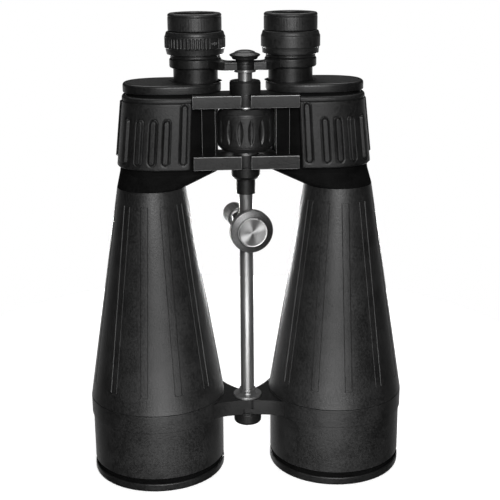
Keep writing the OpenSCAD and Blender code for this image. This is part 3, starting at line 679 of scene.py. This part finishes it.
def hinge_web():
    """The plate beside the focus wheel, hollowed round where the wheel turns. Its faces carry the
    near-black inside material as painted shade in the recess between the arms, its bevels the painted edge
    highlight.
    """
    front, back, outer, clear = -17, -5, 30, 21.3
    start = math.degrees(math.asin((back - HINGE[1]) / clear))
    end = math.degrees(math.asin((front - HINGE[1]) / clear))
    outline = arc(HINGE, clear, start, end, 16) + [(outer, front), (outer, back)]
    web = plate(outline, LOWER_ARM[2] - 0.5, UPPER_ARM[0] + 0.5, 0.3)
    # Bevels: painted edge highlight; faces: near-black painted shade.
    web.marks = [1 if mark else 2 for mark in web.marks]
    return web


def prism_housing(side):
    return housing_shell() + hinge_arm(side, LOWER_ARM) + hinge_arm(side, UPPER_ARM) + hinge_web()


pair("prism_housing", prism_housing, HALF, "black_metal", [METAL, EDGE_HIGHLIGHT, INSIDE_AND_SHADE, SHADE], sharp=30)


# ---------- armour ----------

RIB_W, RIB_H = 2.35, 1.4
END_R = 1.6
SHORT_RIBS = (53.9, 63.0, 72.3, 81.3)
LONG_RIB = 42.1
SHORT_SPAN, LONG_SPAN, SIDE_SPAN = (232.4, 263.3), (232.6, 273.4), (234, 274)


def armour_shape(side):
    low, high = armour.z0, armour.z1
    foot, head = np.array([15.5, 89.3, -22.8, 37.6]), np.array([14.5, 83.8, -21.6, 36.6])
    cut = 36.75
    mid_plan = (foot + head) / 2
    dense = np.linspace(-math.pi, math.pi, 6001)
    line = oval(*mid_plan, dense)
    kept = line[:, 0] >= cut
    dense, line = dense[kept], line[kept]
    run = np.concatenate([[0], np.cumsum(np.linalg.norm(np.diff(line, axis=0), axis=1))])
    columns = 480
    s = np.linspace(0, run[-1], columns)
    turns = np.interp(s, run, dense)
    front = dense < np.interp(run[-1] / 2, run, dense)

    def place_of(x, at_back=False):
        part = ~front if at_back else front
        order = np.argsort(line[part][:, 0])
        return float(np.interp(x, line[part][order, 0], run[part][order]))

    ribs = []
    for back in (False, True):
        ribs += [(place_of(x, back), *SHORT_SPAN) for x in SHORT_RIBS]
        ribs += [(place_of(LONG_RIB, back), *LONG_SPAN)]
    tip = int(np.argmax(line[:, 0]))
    ribs += [(float(run[tip]), *SIDE_SPAN)]

    def relief(z):
        height = np.zeros(columns)
        for centre, z0, z1 in ribs:
            over = max(0.0, z0 + RIB_W - z, z - (z1 - RIB_W))
            d = np.hypot(s - centre, over)
            height += RIB_H * smooth(RIB_W, RIB_W - 1.0, d)
            height -= 0.5 * np.exp(-((d - RIB_W - 0.4) / 0.4) ** 2)
        lip = 0.35 * smooth(high - 3.2, high - 2.8, z)
        groove = 0.7 * math.exp(-((z - high + 3.3) / 0.35) ** 2)
        return height + lip - groove

    def outer(z, inset):
        f = (z - low) / (high - low)
        box = foot + (head - foot) * f
        plan = oval(*box, turns)
        along = np.gradient(plan, axis=0)
        normal = np.stack([along[:, 1], -along[:, 0]], 1)
        normal /= np.linalg.norm(normal, axis=1)[:, None]
        past = np.clip(1 - np.minimum(s, run[-1] - s) / END_R, 0, 1)
        ends = END_R * (1 - np.sqrt(np.clip(1 - past ** 2, 0, 1)))
        return level(plan + normal * (relief(z) - inset - ends)[:, None], z)

    def inner(z):
        f = (z - WALL_LOW) / (WALL_HIGH - WALL_LOW)
        box = WALL_FOOT + (WALL_HEAD - WALL_FOOT) * f + np.array([-1, 1, -1, 1]) * 0.05
        return level(oval(*box, turns), z)

    edge = 1.4
    turns_of_edge = [math.radians(a) for a in (10, 25, 40, 55, 70, 82)]
    rounding = [(edge * (1 - math.cos(a)), edge * (1 - math.sin(a))) for a in turns_of_edge]
    rows = [inner(low + 0.02)]
    rows += [outer(low + rise, inset) for rise, inset in rounding]
    rows += [outer(z, 0) for z in np.linspace(low + edge, high - edge, 112)]
    rows += [outer(high - rise, inset) for rise, inset in rounding[::-1]]
    rows += [inner(high - 0.02)]
    return grid(rows, True, False, cap=True)


pair("armour", armour_shape, HALF, "rubber_armour", [RUBBER], sharp=50)


# ---------- prism cover ----------

SCREW_PLACES = ((76, 14), (52, -9.5))


def cover_outline(inset, z):
    return level(oval(15.6 + inset, 83.6 - inset, -16.4 + inset, 33.6 - inset, TURNS), z)


def prism_cover(side):
    low, high, bore, sleeve = 279.34, cover.z1, 15.48, SLEEVE_R
    edge = 1.7
    rows = [level(circle(EYEPIECE, sleeve, TURNS), low)]
    rows += [cover_outline(inset, z) for inset, z in (
        (0.6, low), (0.15, low + 0.2), (0, low + 0.6), (0, high - 1.9),
    )]
    rows += [cover_outline(edge * (1 - math.cos(a)), high - edge + edge * math.sin(a))
             for a in (math.radians(15 * k) for k in range(1, 7))]
    rows += [cover_outline(inset, z) for inset, z in (
        (2.6, high), (2.75, high - 0.35), (3.1, high - 0.35), (3.25, high),
    )]
    for r, z in ((sleeve + 1.4, high), (sleeve + 1.2, high - 0.4), (sleeve + 0.6, high - 0.4)):
        rows.append(level(circle(EYEPIECE, r, TURNS), z))
    rows += [level(circle(EYEPIECE, r, TURNS), z) for r, z in (
        (sleeve + 0.4, high), (bore + 0.5, high), (bore, high - 0.5), (bore, cover.z0), (sleeve, cover.z0),
    )]
    return grid(rows, True, True)


def cover_screws(side):
    head = rounded([
        (0.01, 283.8), (2.05, 283.8), (2.05, cover.z1 - 0.05, 0.5), (0.9, cover.z1, 0.2),
        (0.85, cover.z1 - 0.9, 0.05), (0.01, cover.z1 - 0.9),
    ], 0.2, closed=False)
    washer = rounded([
        (2.1, cover.z1 - 1.3), (2.7, cover.z1 - 1.3), (2.7, cover.z1), (2.1, cover.z1),
    ], 0.15)

    def cross(a, r, z):
        return np.full(len(a), r) if r > 0.95 else r * (1 + 0.75 * np.abs(np.cos(2 * a)) ** 3)

    shape = None
    for x, y in SCREW_PLACES:
        one = (lathe(head, 48, cross, cap=True) + lathe(washer, 48)).at((x, y))
        shape = one if shape is None else shape + one
    return shape


pair("prism_cover", prism_cover, HALF, "black_metal", [METAL], sharp=30)
pair("cover_screws", cover_screws, HALF, "small_screws", [SCREWS])


# ---------- strap lugs ----------

def strap_lug(side):
    lug = span("strap_lug_right")
    half, root, tip = 8, 35.5, lug.high[1]
    mid = lug.x
    low_y, high_y = tip - 2.2 - 5.6, tip - 2.2
    right_part = [(mid, root), (mid + half, root)] + arc((mid + half - 3.5, tip - 3.5), 3.5, 0, 90, 8)
    right_part += [(mid, tip), (mid, high_y)] + arc((mid + 5 - 2, high_y - 2), 2, 90, 0, 6)
    right_part += arc((mid + 5 - 2, low_y + 2), 2, 0, -90, 6) + [(mid, low_y)]
    one = plate(right_part, lug.z0, lug.z1, 0.5, edge_lit=False)
    return one + one.at((-mid, 0)).mirrored().at((mid, 0))


pair("strap_lug", strap_lug, HALF, "black_metal", [METAL])


# ---------- eyepieces ----------

EYE_ARM_LOW, EYE_ARM_SPLIT, EYE_ARM_HIGH = 295.6, 299.25, 300.8


def eyepiece_tube(side):
    profile = rounded([
        (13.6, eye.z0), (15.4, eye.z0), (15.4, 293.8, 0.1), (15.4, 301.55, 0.1), (17.2, 301.55, 0.4),
        (17.2, 302.6, 0.2), (16.9, 303.0, 0.2), (17.2, 303.5, 0.2), (17.2, 309), (13.6, 309),
    ], 0.25)
    return lathe(profile, 160).at(EYEPIECE)


def eyepiece_arm(side):
    holder = lathe(rounded([
        (15.42, 295), (17.4, 295, 0.3), (18, 295.8, 0.4), (18, 300.6, 0.4), (17.3, 301.5, 0.4),
        (15.42, 301.5),
    ], 0.3), 160).at(EYEPIECE)
    into_holder = arc(EYEPIECE, 16.8, -119, -212, 20)
    front = [(5.6, -18.6), (14, -18.6), (18, -16.4), (22, -10.2)]
    back = [(19, 16), (15, 4), (13.2, -1.6), (11, -4.1), (8, -4.6)]
    own = front + into_holder + back + arc(HINGE, 7.2, 70.7, 321, 44)
    other = front + into_holder + back + arc(HINGE, 7.75, 62, -44, 20)
    upper, lower = (own, other) if side == LEFT else (other, own)
    mating = EYE_ARM_SPLIT + (0.05 if side == LEFT else -0.05)
    return (
        holder
        + plate(upper, EYE_ARM_SPLIT + 0.05, EYE_ARM_HIGH, 0.3, bottom=side == LEFT, edge_lit=False)
        + plate(lower, EYE_ARM_LOW, mating, 0.3, top=side == RIGHT, edge_lit=False)
    )


def ocular_cell(side):
    profile = rounded([
        (11.8, 284), (13.54, 284), (13.54, 319.7), (17.4, 319.7), (17.4, 321.7), (15.2, 321.7),
        (12.6, 321.2), (10.2, 320.4), (10.2, 320.0), (11, 320.0), (11, 294), (11.8, 294),
    ], 0.15)
    return lathe(profile, 128).at(EYEPIECE)


def lens_shape(node, ball_share):
    box = span(node)
    thick = box.z1 - box.z0
    sag = thick * ball_share
    ball = (box.r ** 2 + sag ** 2) / (2 * sag)
    crown = []
    for k in range(12):
        r = box.r * (1 - k / 11) + 0.01
        crown.append((r, box.z1 - ball + math.sqrt(max(0, ball ** 2 - r ** 2))))
    return lathe([(0.01, box.z0), (box.r - 0.2, box.z0), (box.r, box.z0 + 0.2)] + crown, 96, cap=True)


def eyecup(side):
    high, r = cup.z1, cup.r
    profile = rounded([
        (17.4, 319.95, 0.1), (r - 0.25, 319.95, 0.2), (r, 320.4, 0.2), (r, 328.9, 0.15),
        (r - 0.3, 329.2, 0.1), (r - 0.05, 329.6, 0.2), (r, 330.6, 0.8), (r - 0.9, high, 0.8),
        (14.6, high, 0.5), (14, high - 0.7, 0.4), (14.2, high - 1.4, 0.4), (15.2, high - 3.2, 0.4),
        (15.2, 321.75), (17.4, 321.75),
    ], 0.3)

    def flutes(a, radius, z):
        if radius < r - 0.1 or not 321 < z < 328.8:
            return np.full(len(a), radius)
        return radius + 0.02 * np.cos(a * 60)

    dense = []
    for k, (radius, z) in enumerate(profile):
        dense.append((radius, z))
        if radius > r - 0.01 and abs(z - profile[(k + 1) % len(profile)][1]) > 5:
            dense += [(r, z + sign) for sign in (0.9, 1.3, 6.9, 7.6)]
    return lathe(dense, 360, flutes).at(EYEPIECE)


def ring_profile(widest):
    return [
        (17.6, 304.1, 0.2), (19.5, 304.1, 0.4), (widest - 0.9, 306.6, 0.3), (widest - 0.6, 308.2, 0.3),
        (widest, 308.7, 0.4), (widest, 316.0, 0.4), (widest - 0.55, 317.0, 0.3), (widest - 0.9, 318.4, 0.3),
        (widest - 1.3, 319.2, 0.3), (widest - 1.9, 319.55, 0.3), (13.7, 319.55, 0.1), (13.7, 317.5, 0.1),
        (17.55, 317.5, 0.1),
    ]


MARKS_Z = 312.2


def diopter_ring():
    """The left ring: forty-eight ribs, with a smooth field that holds the setting marks."""
    widest, ribs = grip.r + 0.45, 48
    profile = rounded(ring_profile(widest), 0.3)
    dense = []
    for k, (radius, z) in enumerate(profile):
        dense.append((radius, z))
        following = profile[(k + 1) % len(profile)]
        if radius > widest - 0.1 and following[1] - z > 3:
            dense += [(widest, z + f) for f in (0.3, 0.7, 1.1, 3.2, 5.2, 5.6, 6.0)]
    field = math.radians(-52)

    def ribbed(a, radius, z):
        inside = (radius > widest - 0.15) * smooth(308.75, 309.4, z) * smooth(315.9, 315.2, z)
        wave = smooth(0.16, 0.34, np.abs((a * ribs / 2 / math.pi) % 1 - 0.5))
        away = np.abs((a - field + math.pi) % (2 * math.pi) - math.pi)
        return radius - 0.55 * (1 - wave) * inside * smooth(0.13, 0.16, away)

    ring = lathe(dense, ribs * 14, ribbed)
    marks = None
    for k, tall in ((-2, 1.2), (-1, 1.2), (0, 2.4), (1, 1.2), (2, 1.2)):
        turn = field + k * 0.048
        x, y = math.cos(turn), math.sin(turn)
        along, across, out = np.array([x, y]), np.array([-y, x]), widest - 0.05
        corners = [along * out - across * 0.16, along * (out + 0.16) - across * 0.16,
                   along * (out + 0.16) + across * 0.16, along * out + across * 0.16]
        bar = plate(
            [tuple(c) for c in corners], MARKS_Z - tall / 2, MARKS_Z + tall / 2, 0.03, edge_lit=False
        ).painted(1)
        marks = bar if marks is None else marks + bar
    return ring + marks


pair("eyepiece_tube", eyepiece_tube, CARRIAGE, "black_metal", [METAL])
pair("eyepiece_arm", eyepiece_arm, CARRIAGE, "black_metal", [METAL, EDGE_HIGHLIGHT])
pair("ocular_cell", ocular_cell, OCULAR, "black_metal", [METAL])
for stem in ("field_lens", "eye_lens"):
    glass_shape = lens_shape(f"{stem}_right", 0.55).at(EYEPIECE)
    pair(stem, lambda side: glass_shape, OCULAR, "coated_glass", [LENS])
pair("eyecup", eyecup, OCULAR, "eyecup_rubber", [CUP])
piece("grip_ring", lathe(rounded(ring_profile(grip.r), 0.3), 192).at(EYEPIECE), "right_eyepiece",
      "eyecup_rubber", [CUP], ("grip_ring",))
piece("diopter_ring", diopter_ring().at((-EYEPIECE[0], EYEPIECE[1])), "diopter_ring",
      "rubber_grip", [GRIP, MARKS], ("diopter_ring",))


# ---------- hinge and focusing ----------

turned("hinge_collar", "hinge_collar", rounded([
    (rod.r, 210), (6.65, 210, 0.3), (6.65, 220.3, 0.1), (7.9, 220.5, 0.4), (10, 222.8, 0.6),
    (10, 228.9, 0.3), (5, 228.9), (5, 222), (rod.r, 222),
], 0.2), "left_half", "black_metal", [METAL], HINGE, 128)
turned("hinge_cap_ring", "hinge_cap_ring", rounded([
    (4.93, 281.4), (7, 281.4), (7, 279.35), (10.6, 279.35, 0.3), (10.6, 286.9, 0.2),
    (10.1, 287.2, 0.1), (10.1, 287.5, 0.1), (10.4, 287.7, 0.2), (9.6, 288.2, 0.2), (4.93, 288.2),
], 0.15), "left_half", "black_metal", [METAL], HINGE, 128)
piece("lower_axle", (
    lathe(rounded([(0.01, 222), (5, 222), (5, 239.6), (0.01, 239.6)], 0.2, closed=False), 96, cap=True)
    + lathe(rounded([(5.02, 238.1), (8.6, 238.1), (8.6, 239.6), (5.02, 239.6)], 0.3), 96)
).at(HINGE), "left_half", "bright_steel", [STEEL], ("lower_axle",))
turned("bridge_washer", "bridge_washer", rounded([
    (4.87, 293.8), (7.3, 293.8), (7.3, 295.5), (4.87, 295.5),
], 0.35), "focus_carriage", "bright_steel", [STEEL], HINGE, 96)
turned("focus_screw", "focus_screw", rounded([
    (0.01, 245), (4.85, 245), (4.85, 303), (0.01, 303),
], 0.2, closed=False), "focus_carriage", "bright_steel", [STEEL], HINGE, 96, cap=True)


def dome_profile():
    return rounded([
        (0.01, 300.85), (6.1, 300.85, 0.2), (6.2, 302.0, 0.3), (8.4, 302.5, 0.4), (8.9, 303.7, 0.3),
        (10.4, 304.9, 0.2), (10.4, 305.5, 0.25), (7.7, 306.6, 0.4), (7.0, 306.9, 0.15), (6.7, 307.35, 0.2),
        (4.8, 308.05, 0.3), (4.3, 308.1, 0.1), (3.9, 308.3, 0.2), (0.01, 308.48),
    ], 0.3, closed=False)


turned(
    "dome_cap", "dome_cap", dome_profile(), "focus_carriage", "black_metal", [METAL], HINGE, 128,
    cap=True,
)

SCALLOPS, SCALLOP_TURN = 16, math.radians(8.4)


def focus_wheel():
    low, high, r, bevel = wheel.z0, 270, wheel.r, 3.2
    middle, half = (low + high) / 2 - 0.3, 9.0
    profile = rounded([
        (4.93, low, 0.1), (r - bevel, low, 0.5), (r - 0.5, low + bevel - 0.2, 0.5),
        (r - 0.5, low + bevel + 0.5, 0.1), (r, low + bevel + 0.9, 0.3), (r, high - bevel - 0.9, 0.3),
        (r - 0.5, high - bevel - 0.5, 0.1), (r - 0.5, high - bevel + 0.2, 0.5), (r - bevel, high, 0.5),
        (9, high, 0.1), (9, high + 0.8, 0.25), (4.93, high + 0.8, 0.1),
    ], 0.3)
    dense = []
    for k, (radius, z) in enumerate(profile):
        dense.append((radius, z))
        following = profile[(k + 1) % len(profile)]
        if following[1] - z > 10:
            dense += [(radius, float(h)) for h in np.linspace(z, following[1], 42)[1:-1]]

    def scalloped(a, radius, z):
        if radius < r - 0.05 or abs(z - middle) > half:
            return np.full(len(a), radius)
        width = 2.3 * (1 - ((z - middle) / half) ** 2)
        offset = ((a + math.pi / 2 - SCALLOP_TURN) * SCALLOPS / 2 / math.pi + 0.5) % 1 - 0.5
        across = np.abs(offset) * 2 * math.pi / SCALLOPS * radius
        return radius - 0.95 * np.clip(1 - (across / max(width, 0.05)) ** 2, 0, 1) * min(1, width / 1.2)

    marks = [1 if min(z, dense[(k + 1) % len(dense)][1]) > high - 0.01 and radius < 9.2 else 0
             for k, (radius, z) in enumerate(dense)]
    return lathe(dense, SCALLOPS * 26, scalloped, marks=marks).at(HINGE)


piece("focus_wheel", focus_wheel(), "focus_wheel", "rubber_grip", [GRIP, STEEL], ("focus_wheel",), sharp=60)


# ---------- tripod clamp ----------

bush = span("clamp_bush")
knob = span("lock_knob")
CLAMP_TURN = math.atan2(knob.x - bush.x, bush.y - knob.y)
CLAMP = (
    Matrix.Translation(Vector((bush.x, bush.y, bush.z)) * MM)
    @ Matrix.Rotation(CLAMP_TURN, 4, "Z") @ Matrix.Rotation(math.pi / 2, 4, "X")
)
UPRIGHT = Matrix.Rotation(-math.pi / 2, 4, "X")


def laid(shape):
    """A shape with an upright axis, turned so that it stands upright in the clamp's own frame."""
    turned_points = [UPRIGHT @ Vector(p) for p in shape.points]
    return Shape([p[:] for p in turned_points], shape.faces, shape.marks)


def knurled(count, depth, low, high, outer):
    def carve(a, r, z):
        if r < outer - 0.05 or not low < z < high:
            return np.full(len(a), r)
        return r - depth * (1 - np.abs(np.cos(a * count / 2)))
    return carve


def lock_knob():
    side_r, face = 15, 19.6
    rise = [
        (0.01, 8), (3, 8), (3, 11.6), (13.9, 11.6), (14.7, 12.0), (15, 12.5), (15, 12.9),
        (15, 16.2), (15, 16.6), (14.75, 17.0), (14.3, 17.25), (12.6, 18.1), (10.9, 18.85),
        (10.6, 19.05), (10.35, 19.45), (10.1, face), (9.9, face), (9.7, 19.45), (9.6, 19.4),
    ]
    rings = 26
    dish = [
        (9.6 * (1 - k / rings) + 0.01, 19.38 - 0.25 * k / rings - (0.012 if k % 2 else 0))
        for k in range(1, rings + 1)
    ]
    profile = rise + dish
    marks = [0 if z < 17.2 else 1 if r > 10.7 else 2 for r, z in profile]
    carve = knurled(90, 0.35, 12.6, 16.5, side_r)
    return lathe(profile, 360, carve, cap=True, marks=marks)


def tripod_post():
    grip_low, grip_high, r = 19, 39, 8
    rise = [
        (0.01, grip_high - 10), (2.55, grip_high - 10), (2.55, grip_high - 0.6), (3.1, grip_high),
        (7.2, grip_high), (7.8, grip_high - 0.5), (r, grip_high - 1.1), (r, grip_high - 1.4),
        (r, grip_low + 1.6), (r, grip_low + 1.2), (7.6, grip_low + 0.4), (6.9, grip_low),
        (6.2, grip_low - 0.4), (6.2, 11.4), (5.9, 11.05), (3.4, 11.05), (3.4, 9.8), (0.01, 9.8),
    ]
    carve = knurled(48, 0.45, grip_low + 1.3, grip_high - 1.2, r)
    shape = lathe(rise, 288, carve, cap=True)
    return Shape(shape.points * [1, 1, -1], [f[::-1] for f in shape.faces], shape.marks)


def clamp_body():
    ring = laid(lathe(rounded([
        (6.28, -8), (9.6, -8), (9.6, 8), (6.28, 8),
    ], 0.7), 128))
    boss = lathe(rounded([
        (3.08, 6.4), (6, 6.4), (6, 11.35), (3.08, 11.35),
    ], 0.35), 96)
    neck = lathe(rounded([
        (3.45, -11), (6.2, -11), (6.2, -6.4), (3.45, -6.4),
    ], 0.2), 96)
    return ring + boss + neck


clamp_pieces = (
    ("lock_knob", lock_knob(), "lock_knob", "turned_steel", [STEEL, BLASTED, TURNED], 40),
    ("tripod_post", tripod_post(), "clamp_body", "black_metal", [POST], 40),
    ("clamp_body", clamp_body(), "clamp_body", "black_metal", [METAL], 30),
)
for name, shape, body, slot, materials, sharp in clamp_pieces:
    piece(name, shape, body, slot, materials, (name,), place=CLAMP, sharp=sharp)


# ---------- CAD nodes that stay ----------

KEPT_PAIRS = {
    "prism_shelf": INSIDE_AND_SHADE, "upper_prism": PRISM, "lower_prism": PRISM, "prism_clips": SPRING,
}
KEPT = {f"{stem}_{side}": material for stem, material in KEPT_PAIRS.items() for side in SIDES}
KEPT.update({"upper_bush": STEEL, "clamp_bush": NYLON, "clamp_pad": NYLON})
for name, material in KEPT.items():
    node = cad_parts[name]
    node.data.materials.clear()
    node.data.materials.append(material)


# ---------- floor, light and camera ----------

def soft_light(name, centre, target, size, power, height=None):
    data = bpy.data.lights.new(name, "AREA")
    data.energy = power
    data.shape = "RECTANGLE"
    data.size, data.size_y = size, height or size
    made = bpy.data.objects.new(name, data)
    bpy.context.scene.collection.objects.link(made)
    made.location = centre
    made.rotation_euler = (Vector(target) - Vector(centre)).to_track_quat("-Z", "Y").to_euler()
    return made


FLOOR_AT, FLOOR_R = (0, 150), 300
TABLE_FROM_TO = (0.3, 0.95)
TABLE_GLOW, ROOM_GLOW = 0.9, 0.003


def pale_floor():
    material, add, link, coordinates, shader = texture_nodes("pale_floor")
    speck = grain(add, link, coordinates, 40, 2.0)
    link(between(add, link, speck, (0.90, 0.90, 0.90), (0.93, 0.93, 0.93)), shader.inputs["Base Color"])
    shader.inputs["Roughness"].default_value = 0.6
    shader.inputs["Specular IOR Level"].default_value = 0.1
    shader.inputs["Emission Color"].default_value = (1, 1, 1, 1)
    shader.inputs["Emission Strength"].default_value = 0.32
    rows = [level(circle(FLOOR_AT, r, TURNS), -0.02) for r in (1, 100, 200, FLOOR_R)]
    shape = grid(rows, False, True, cap=False)
    mesh = bpy.data.meshes.new("floor")
    mesh.from_pydata((shape.points * MM).tolist(), [], shape.faces + [list(range(len(TURNS)))])
    mesh.materials.append(material)
    floor = bpy.data.objects.new("floor", mesh)
    bpy.context.scene.collection.objects.link(floor)
    floor.visible_glossy = False


def studio_world():
    """Pale all round for the camera. The object mirrors a dark room, with a pale table behind it."""
    world = bpy.data.worlds.new("studio")
    bpy.context.scene.world = world
    world.use_nodes = True
    tree = world.node_tree
    add = node_adder(tree)

    def ramp(source, low, high):
        node = add("ShaderNodeMapRange", interpolation_type="SMOOTHSTEP")
        node.inputs["From Min"].default_value, node.inputs["From Max"].default_value = low, high
        tree.links.new(source, node.inputs["Value"])
        return node.outputs["Result"]

    direction = tree.nodes.new("ShaderNodeTexCoord")
    split = tree.nodes.new("ShaderNodeSeparateXYZ")
    tree.links.new(direction.outputs["Generated"], split.inputs["Vector"])
    behind = ramp(split.outputs["Y"], *TABLE_FROM_TO)
    below = ramp(split.outputs["Z"], 0.10, -0.12)
    both = add("ShaderNodeMath", operation="MULTIPLY")
    tree.links.new(behind, both.inputs[0])
    tree.links.new(below, both.inputs[1])
    strength = add("ShaderNodeMath", operation="MULTIPLY_ADD")
    tree.links.new(both.outputs["Value"], strength.inputs[0])
    strength.inputs[1].default_value, strength.inputs[2].default_value = TABLE_GLOW, ROOM_GLOW
    mirrored = tree.nodes["Background"]
    mirrored.inputs["Color"].default_value = (1, 1, 1, 1)
    tree.links.new(strength.outputs["Value"], mirrored.inputs["Strength"])
    seen = add("ShaderNodeBackground", Color=(1, 1, 1, 1), Strength=1.0)
    rays = tree.nodes.new("ShaderNodeLightPath")
    mix = tree.nodes.new("ShaderNodeMixShader")
    tree.links.new(rays.outputs["Is Camera Ray"], mix.inputs["Fac"])
    tree.links.new(mirrored.outputs["Background"], mix.inputs[1])
    tree.links.new(seen.outputs["Background"], mix.inputs[2])
    tree.links.new(mix.outputs["Shader"], tree.nodes["World Output"].inputs["Surface"])


pale_floor()
studio_world()

HEADING, PITCH, ROLL = (math.radians(a) for a in (3.53, 16.54, -0.417))
CAMERA_AT = Vector((-0.04195, -0.73277, 0.38297))
forward = Vector((
    math.sin(HEADING) * math.cos(PITCH), math.cos(HEADING) * math.cos(PITCH), -math.sin(PITCH)
))
level_right = Vector((math.cos(HEADING), -math.sin(HEADING), 0))
level_up = level_right.cross(forward)
right = level_right * math.cos(ROLL) + level_up * math.sin(ROLL)
up = right.cross(forward)
camera_data = bpy.data.cameras.new("camera")
camera_data.lens = 76.67
camera_data.sensor_width = 36
camera_data.clip_start, camera_data.clip_end = 0.05, 50
camera = bpy.data.objects.new("camera", camera_data)
bpy.context.scene.collection.objects.link(camera)
camera.matrix_world = (
    Matrix.Translation(CAMERA_AT) @ Matrix((right, up, -forward)).transposed().to_4x4()
)
bpy.context.scene.camera = camera
bpy.context.scene.view_settings.view_transform = "Standard"

middle = Vector((0, 0, 0.17))
soft_light("front_softbox", CAMERA_AT + right * 0.07 + up * 0.10 - forward * 0.15, middle, 0.36, 12)
soft_light("top_softbox", (0, 0.35, 1.1), (0, 0.05, 0), 0.9, 9)
for name, x, power in (("low_card_left", -0.07, 0.38), ("low_card_right", 0.066, 0.30)):
    soft_light(name, (x, -0.30, 0.015), (x, -0.05, 0.0), 0.14, power, 0.03)
soft_light("low_card_rear", (0.04, 0.60, 0.022), (0, 0.05, 0.12), 0.6, 5, 0.036)
